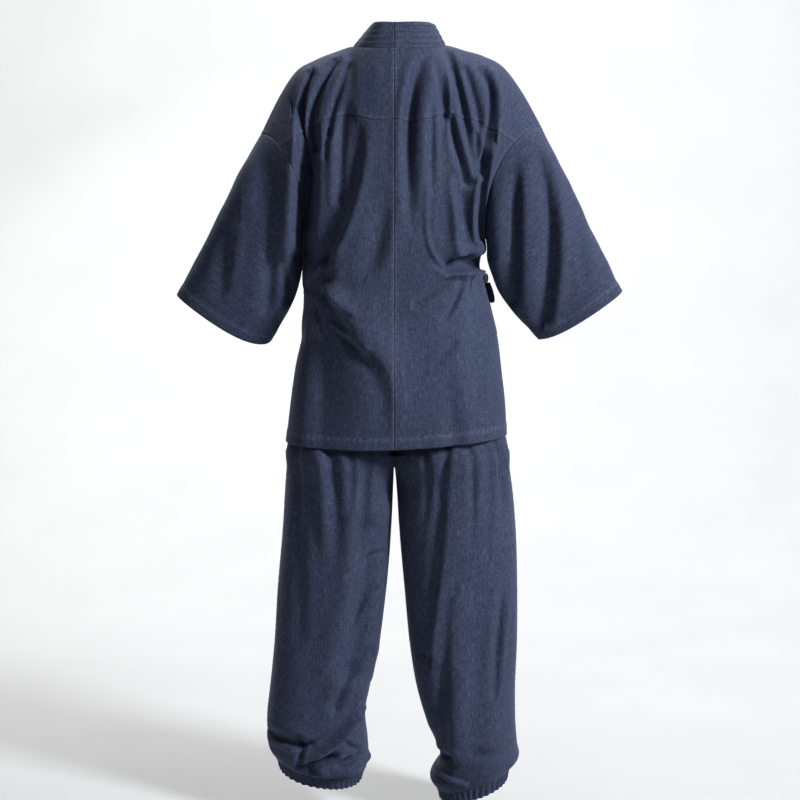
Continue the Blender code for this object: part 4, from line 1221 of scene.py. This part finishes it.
def leg_shells(name):
    """The back and front panels of a trouser leg."""
    across = np.linspace(0, 1, LEG_COLUMNS + 1)[None, :]
    count = (len(LEG_LEVELS) - 1) * LEG_FINE + 1
    level = np.interp(np.arange(count) / LEG_FINE, np.arange(len(LEG_LEVELS)), LEG_LEVELS)
    level = level[:, None]
    outward = from_leg(name)
    shells = []
    for face, seed, side_seam in (("back", 7, "fell"), ("front", 2, "seam")):
        grid = leg_point(name, face, across, level)
        near = bell(grid[..., 2] - CROTCH_HEIGHT - 0.015, 0.018)
        grid[..., 0] -= SIDE[name] * CROTCH_LAP * near * np.exp(-across / 0.05)
        bulge = np.sin(across * math.pi)
        depth = creases("leg_" + face, grid) * (ease(bulge / 0.25) * ease(level / 0.02))
        soft = ripple(grid[..., 0], grid[..., 2] * 0.5, 0.075, seed)
        depth = depth + soft * SOFT_SWELL * ease(bulge / 0.5)
        grid = grid - directions(grid, outward) * depth[..., None]
        edges = {"start": "seam", "end": side_seam}
        shells.append(Shell(f"leg_{face}_{name}", grid, outward, edges))
    return shells


def waist_shell():
    """The waistband, gathered on its elastic."""
    turn = np.arange(RING_COLUMNS)[None, :] / RING_COLUMNS * 2 * math.pi
    rise = np.linspace(0, 1, WAIST_ROWS + 1)[:, None]
    half = np.where(np.cos(turn) > 0, HIP["left"][-1], HIP["right"][-1])
    depth = np.where(np.sin(turn) > 0, HIP["back"][-1], HIP["front"][-1])
    gather = GATHER_DEPTH * np.cos(turn * WAIST_GATHERS + 1.2 * np.sin(turn * 5))
    gather = gather * np.sin(rise * math.pi) - GATHER_DEPTH
    x = (half + gather) * np.cos(turn)
    y = (depth + gather) * np.sign(np.sin(turn)) * round_off(np.cos(turn), LEG_SQUARE)
    grid = points(x, y, WAIST_HEIGHT + 0.0006 + WAISTBAND_HEIGHT * rise)
    return Shell("waistband", grid, from_body, {}, closed=True, wall=BAND_WALL, slot="band")


def cuff_shell(name):
    """The gathered casing at an ankle."""
    turn = np.arange(RING_COLUMNS)[None, :] / RING_COLUMNS * 2 * math.pi
    rise = np.linspace(0, 1, CUFF_ROWS + 1)[:, None]
    part = np.arccos(1 - 2 * ((1 + np.cos(turn)) / 2)) / math.pi
    halves = [leg_point(name, face, part, 0 * part) for face in ("back", "front")]
    edge = np.where((np.sin(turn) > 0)[..., None], *halves)
    middle = edge.mean(axis=1, keepdims=True)
    gather = np.cos(turn * CUFF_GATHERS + 1.5 * np.sin(turn * 3)) * ease(rise / 0.15)
    wave = GATHER_DEPTH * (gather - 1)
    shape = 1 - CUFF_TAPER * np.sin(rise * math.pi / 2)
    ring = middle + (edge - middle) * shape[..., None] + unit(edge - middle) * wave[..., None]
    ring = ring - points(0, 0, 0.0002 + CUFF_HEIGHT * rise)
    outward = from_leg(name)
    return Shell(f"cuff_{name}", ring, outward, {}, closed=True, wall=BAND_WALL, slot="band")


def smooth_run(path, at):
    """Points on a smooth curve through a path, at fractions of its steps."""
    path = np.asarray(path, float)
    slope = np.gradient(path, axis=0)
    low = np.minimum(np.floor(at).astype(int), len(path) - 2)
    t = (at - low)[:, None]
    return hermite(path[low], slope[low], path[low + 1], slope[low + 1], t)


def tube(name, grid, slot):
    """A closed piece from rings of points, capped at both ends."""
    rows, columns = grid.shape[:2]
    ends = np.stack((grid[0].mean(axis=0), grid[-1].mean(axis=0)))
    place = np.concatenate((grid.reshape(-1, 3), ends)) - np.array([0, 0, HOLD_HEIGHT])
    index = np.arange(rows * columns).reshape(rows, columns)
    ahead = np.roll(index, -1, axis=1)
    bm = bmesh.new()
    verts = [bm.verts.new(p) for p in place]
    for r in range(rows - 1):
        for c in range(columns):
            ring = (index[r, c], ahead[r, c], ahead[r + 1, c], index[r + 1, c])
            bm.faces.new([verts[i] for i in ring])
    for c in range(columns):
        bm.faces.new((verts[ahead[0, c]], verts[index[0, c]], verts[-2]))
        bm.faces.new((verts[index[-1, c]], verts[ahead[-1, c]], verts[-1]))
    bmesh.ops.recalc_face_normals(bm, faces=bm.faces)
    mesh = bpy.data.meshes.new(name)
    bm.to_mesh(mesh)
    bm.free()
    mesh.shade_smooth()
    along, across = (np.append(steps_along(grid, axis), [0, 0]) for axis in (0, 1))
    return cloth_piece(name, mesh, slot, across, along, np.full(len(place), UNWORN))


def strip(name, path, faces_out, width):
    """A flat tie of folded cloth along a path, stitched along its edges."""
    fine = np.linspace(0, len(path) - 1, (len(path) - 1) * TIE_FINE + 1)
    path = smooth_run(path, fine)
    faces_out = smooth_run(faces_out, fine)
    along = unit(np.gradient(path, axis=0))
    out = unit(faces_out - (faces_out * along).sum(axis=1, keepdims=True) * along)
    wide = np.cross(out, along)
    turn = np.arange(TIE_COLUMNS) * 2 * math.pi / TIE_COLUMNS
    flat = squarer(np.cos(turn), 0.6)
    groove = 1 - 0.3 * bell(np.abs(flat) - 0.74, 0.09)
    thick = squarer(np.sin(turn), 0.6) * groove
    ring = wide[:, None] * (flat * width / 2)[None, :, None]
    ring = ring + out[:, None] * (thick * TIE_THICK / 2)[None, :, None]
    obj = tube(name, path[:, None] + ring, "tie")


def tie_knot(knot, out):
    """The knot, a rounded block with the turns of the cloth round it."""
    up = np.array([0.0, 0.0, 1.0])
    side = np.cross(out, up)
    rows = np.linspace(-1, 1, 41)[:, None]
    turn = (np.arange(48) * 2 * math.pi / 48)[None, :]
    wrap = 1 + 0.05 * np.sin(rows * 9 + 1.5 * np.sin(turn)) - 0.06 * bell(rows, 0.2)
    size = (1 - np.abs(rows) ** 3.2).clip(0, 1) ** 0.45 * wrap
    x = rows * KNOT_SIZE[0] / 2 + 0 * turn
    y = squarer(np.cos(turn), 0.75) * size * KNOT_SIZE[1] / 2
    z = squarer(np.sin(turn), 0.75) * size * KNOT_SIZE[2] / 2
    grid = knot + side * x[..., None] + out * y[..., None] + up * z[..., None]
    obj = tube("tie_knot", grid, "tie")


def tie_shells():
    """The outer tie: its knot, its two strips, its loops and its tails."""
    knot = on_front(KNOT_ACROSS, KNOT_HEIGHT, KNOT_OFF)
    out = unit(knot - on_front(KNOT_ACROSS, KNOT_HEIGHT, 0.0))
    tie_knot(knot, out)

    ahead = on_front(KNOT_ACROSS + 0.01, KNOT_HEIGHT, KNOT_OFF)
    metre = 0.01 / np.linalg.norm(ahead - knot)
    reach = KNOT_SIZE[0] / 2 * metre * 0.96
    for name, start, off in TIE_ROOTS:
        end = KNOT_ACROSS + math.copysign(reach, start - KNOT_ACROSS)
        path = []
        faces = []
        for share in np.linspace(0, 1, 7):
            across = start + (end - start) * share
            place = on_front(across, KNOT_HEIGHT, off + (KNOT_OFF - off) * share)
            path.append(place)
            faces.append(place - on_front(across, KNOT_HEIGHT, 0.0))
        strip(name, path, np.array(faces), TIE_WIDTH)

    foot = KNOT_HEIGHT - KNOT_SIZE[2] / 2 + 0.002

    def hanging(sign, spread, length, off, under, fall):
        across = KNOT_ACROSS + sign * (TIE_APART + spread * fall) * metre
        return on_front(across, foot - under - length * fall, off)

    for name, *shape in TIE_LOOPS:
        length = shape[2]
        middle = []
        lift = []
        faces = []
        for turn in np.linspace(LOOP_START, 1 - LOOP_START, 15) * 2 * math.pi:
            fall = (math.cos(LOOP_START * 2 * math.pi) - math.cos(turn)) / 2
            middle.append(hanging(*shape, fall))
            lift.append(LOOP_HALF * math.sin(turn))
            faces.append((-LOOP_HALF * math.cos(turn), length / 2 * math.sin(turn)))
        middle = np.array(middle)
        faces = np.array(faces)
        down = unit(middle[len(middle) // 2] - middle[0])
        turned = down * faces[:, :1] + out * faces[:, 1:]
        strip(name, middle + out * np.array(lift)[:, None], turned, TAIL_WIDTH)
    for name, *shape in TIE_TAILS:
        path = [hanging(*shape, fall) for fall in np.linspace(0, 1, 8)]
        strip(name, path, np.tile(out, (len(path), 1)), TAIL_WIDTH)


# One stitch: its corners in half lengths, widths and heights, and its faces
STITCH_CORNERS = np.array([
    (-1, 0, 0), (-0.6, 0, 0.8), (0.6, 0, 0.8), (1, 0, 0),
    (0.6, 0.9, 0.1), (-0.6, 0.9, 0.1), (0.6, -0.9, 0.1), (-0.6, -0.9, 0.1),
])
STITCH_FACES = np.array([
    (0, 1, 5), (1, 2, 5), (2, 4, 5), (2, 3, 4), (0, 7, 1), (1, 7, 2), (7, 6, 2), (2, 6, 3),
])
STITCH_SINK = 0.0001


def stitches(name, lines):
    """One mesh of thread stitches along lines of places and directions."""
    size = (STITCH_LENGTH / 2, STITCH_WIDTH / 2, STITCH_WIDTH / 2)
    places = []
    for place, normal in lines:
        run = steps_along(place, 0)
        at = np.arange(STITCH_PITCH / 2, run[-1], STITCH_PITCH)
        centre, out = (
            np.stack([np.interp(at, run, field[:, k]) for k in range(3)], -1)
            for field in (place, normal)
        )
        out = unit(out)
        along = unit(np.gradient(centre, axis=0))
        made = centre[:, None] - out[:, None] * STITCH_SINK
        for axis, vector in enumerate((along, np.cross(out, along), out)):
            made = made + vector[:, None] * (STITCH_CORNERS[:, axis] * size[axis])[None, :, None]
        places.append(made.reshape(-1, 3))
    place = np.concatenate(places)
    first = np.arange(0, len(place), len(STITCH_CORNERS))[:, None, None]
    mesh = new_mesh(name, place, (first + STITCH_FACES[None]).reshape(-1, 3))
    mesh.materials.append(MATERIALS["thread"])
    show(name, mesh)


# The lamps: name, place, aim, size, power and colour
MIDDLE = (0.0, 0.0, -0.55)
LIGHTS = (
    ("key", (-2.9, 2.15, 1.4), MIDDLE, (0.8, 1.3), 215, (0.93, 0.96, 1.0)),
    ("fill", (3.1, 1.3, 0.6), MIDDLE, (0.9, 1.8), 6, (1.0, 0.96, 0.94)),
    ("top", (-0.3, 0.5, 2.8), MIDDLE, (1.0, 1.0), 6, (1.0, 1.0, 1.0)),
    ("wall", (0.0, -1.6, 3.3), (0.0, -3.8, -0.6), (5.0, 0.8), 330, (1.0, 1.0, 1.0)),
    ("front", (1.6, -3.0, 1.4), MIDDLE, (2.0, 2.0), 30, (1.0, 1.0, 1.0)),
)
# The floor: its half width and length, where it begins to curve up, the
# curve's radius and steps, and the wall's height
FLOOR_HALF, FLOOR_BEND, FLOOR_RADIUS, FLOOR_STEPS = 9.0, -1.6, 3.0, 24


def turn_to(obj, place, aim):
    """The object at a place, with its view along -Z to the aim."""
    bpy.context.scene.collection.objects.link(obj)
    obj.location = place
    look = Vector(aim) - Vector(place)
    obj.rotation_euler = look.to_track_quat("-Z", "Y").to_euler()


def studio():
    """A pale floor that curves up behind, soft light and the camera."""
    profile = [(FLOOR_HALF, 0.0), (FLOOR_BEND, 0.0)]
    for k in range(1, FLOOR_STEPS + 1):
        turn = k / FLOOR_STEPS * math.pi / 2
        y = FLOOR_BEND - FLOOR_RADIUS * math.sin(turn)
        profile.append((y, FLOOR_RADIUS - FLOOR_RADIUS * math.cos(turn)))
    profile.append((FLOOR_BEND - FLOOR_RADIUS, FLOOR_HALF))
    place = np.array([(x, y, z) for x in (-FLOOR_HALF, FLOOR_HALF) for y, z in profile])
    near = np.arange(len(profile) - 1)
    far = near + len(profile)
    floor = bpy.data.objects.new(
        "floor", new_mesh("floor", place, np.stack((near, far, far + 1, near + 1), -1))
    )
    bpy.context.scene.collection.objects.link(floor)
    floor.data.materials.append(toned("floor", 3, 0.9, (0.50,) * 3, (0.52,) * 3))

    world = bpy.data.worlds.new("studio")
    world.use_nodes = True
    background = world.node_tree.nodes["Background"]
    background.inputs[0].default_value = (1.0, 1.0, 1.0, 1.0)
    background.inputs[1].default_value = 0.015
    bpy.context.scene.world = world
    bpy.context.scene.view_settings.view_transform = "Standard"
    for name, place, aim, size, power, colour in LIGHTS:
        lamp = bpy.data.lights.new(name, "AREA")
        lamp.shape = "RECTANGLE"
        lamp.size, lamp.size_y = size
        lamp.energy = power
        lamp.color = colour
        turn_to(bpy.data.objects.new(name, lamp), place, aim)

    lens = bpy.data.cameras.new("camera")
    lens.sensor_fit = "HORIZONTAL"
    lens.angle = 2 * math.atan(HALF_VIEW)
    camera = bpy.data.objects.new("camera", lens)
    turn_to(camera, CAMERA_PLACE, CAMERA_AIM)
    bpy.context.scene.camera = camera


def main():
    studio()
    shells = []
    for name, lift in (("left", FRONT_LAP), ("right", 0.0)):
        shells += back_shells(name)
        shells.append(front_shell(name, lift))
        shells.append(collar_shell(name, lift))
        shells.append(sleeve_shell(name))
        shells += leg_shells(name)
        shells.append(cuff_shell(name))
    shells.append(waist_shell())
    for shell in shells:
        shell.build()
        shell.declare("gathered" if shell.name.startswith(("cuff", "waist")) else "hung")
    tie_shells()
    for piece in ("back", "yoke", "front", "collar", "sleeve", "leg_back"):
        lines = []
        for shell in shells:
            if shell.name in (piece + "_left", piece + "_right"):
                lines += shell.thread_lines()
        stitches("stitches_" + piece, lines)


main()
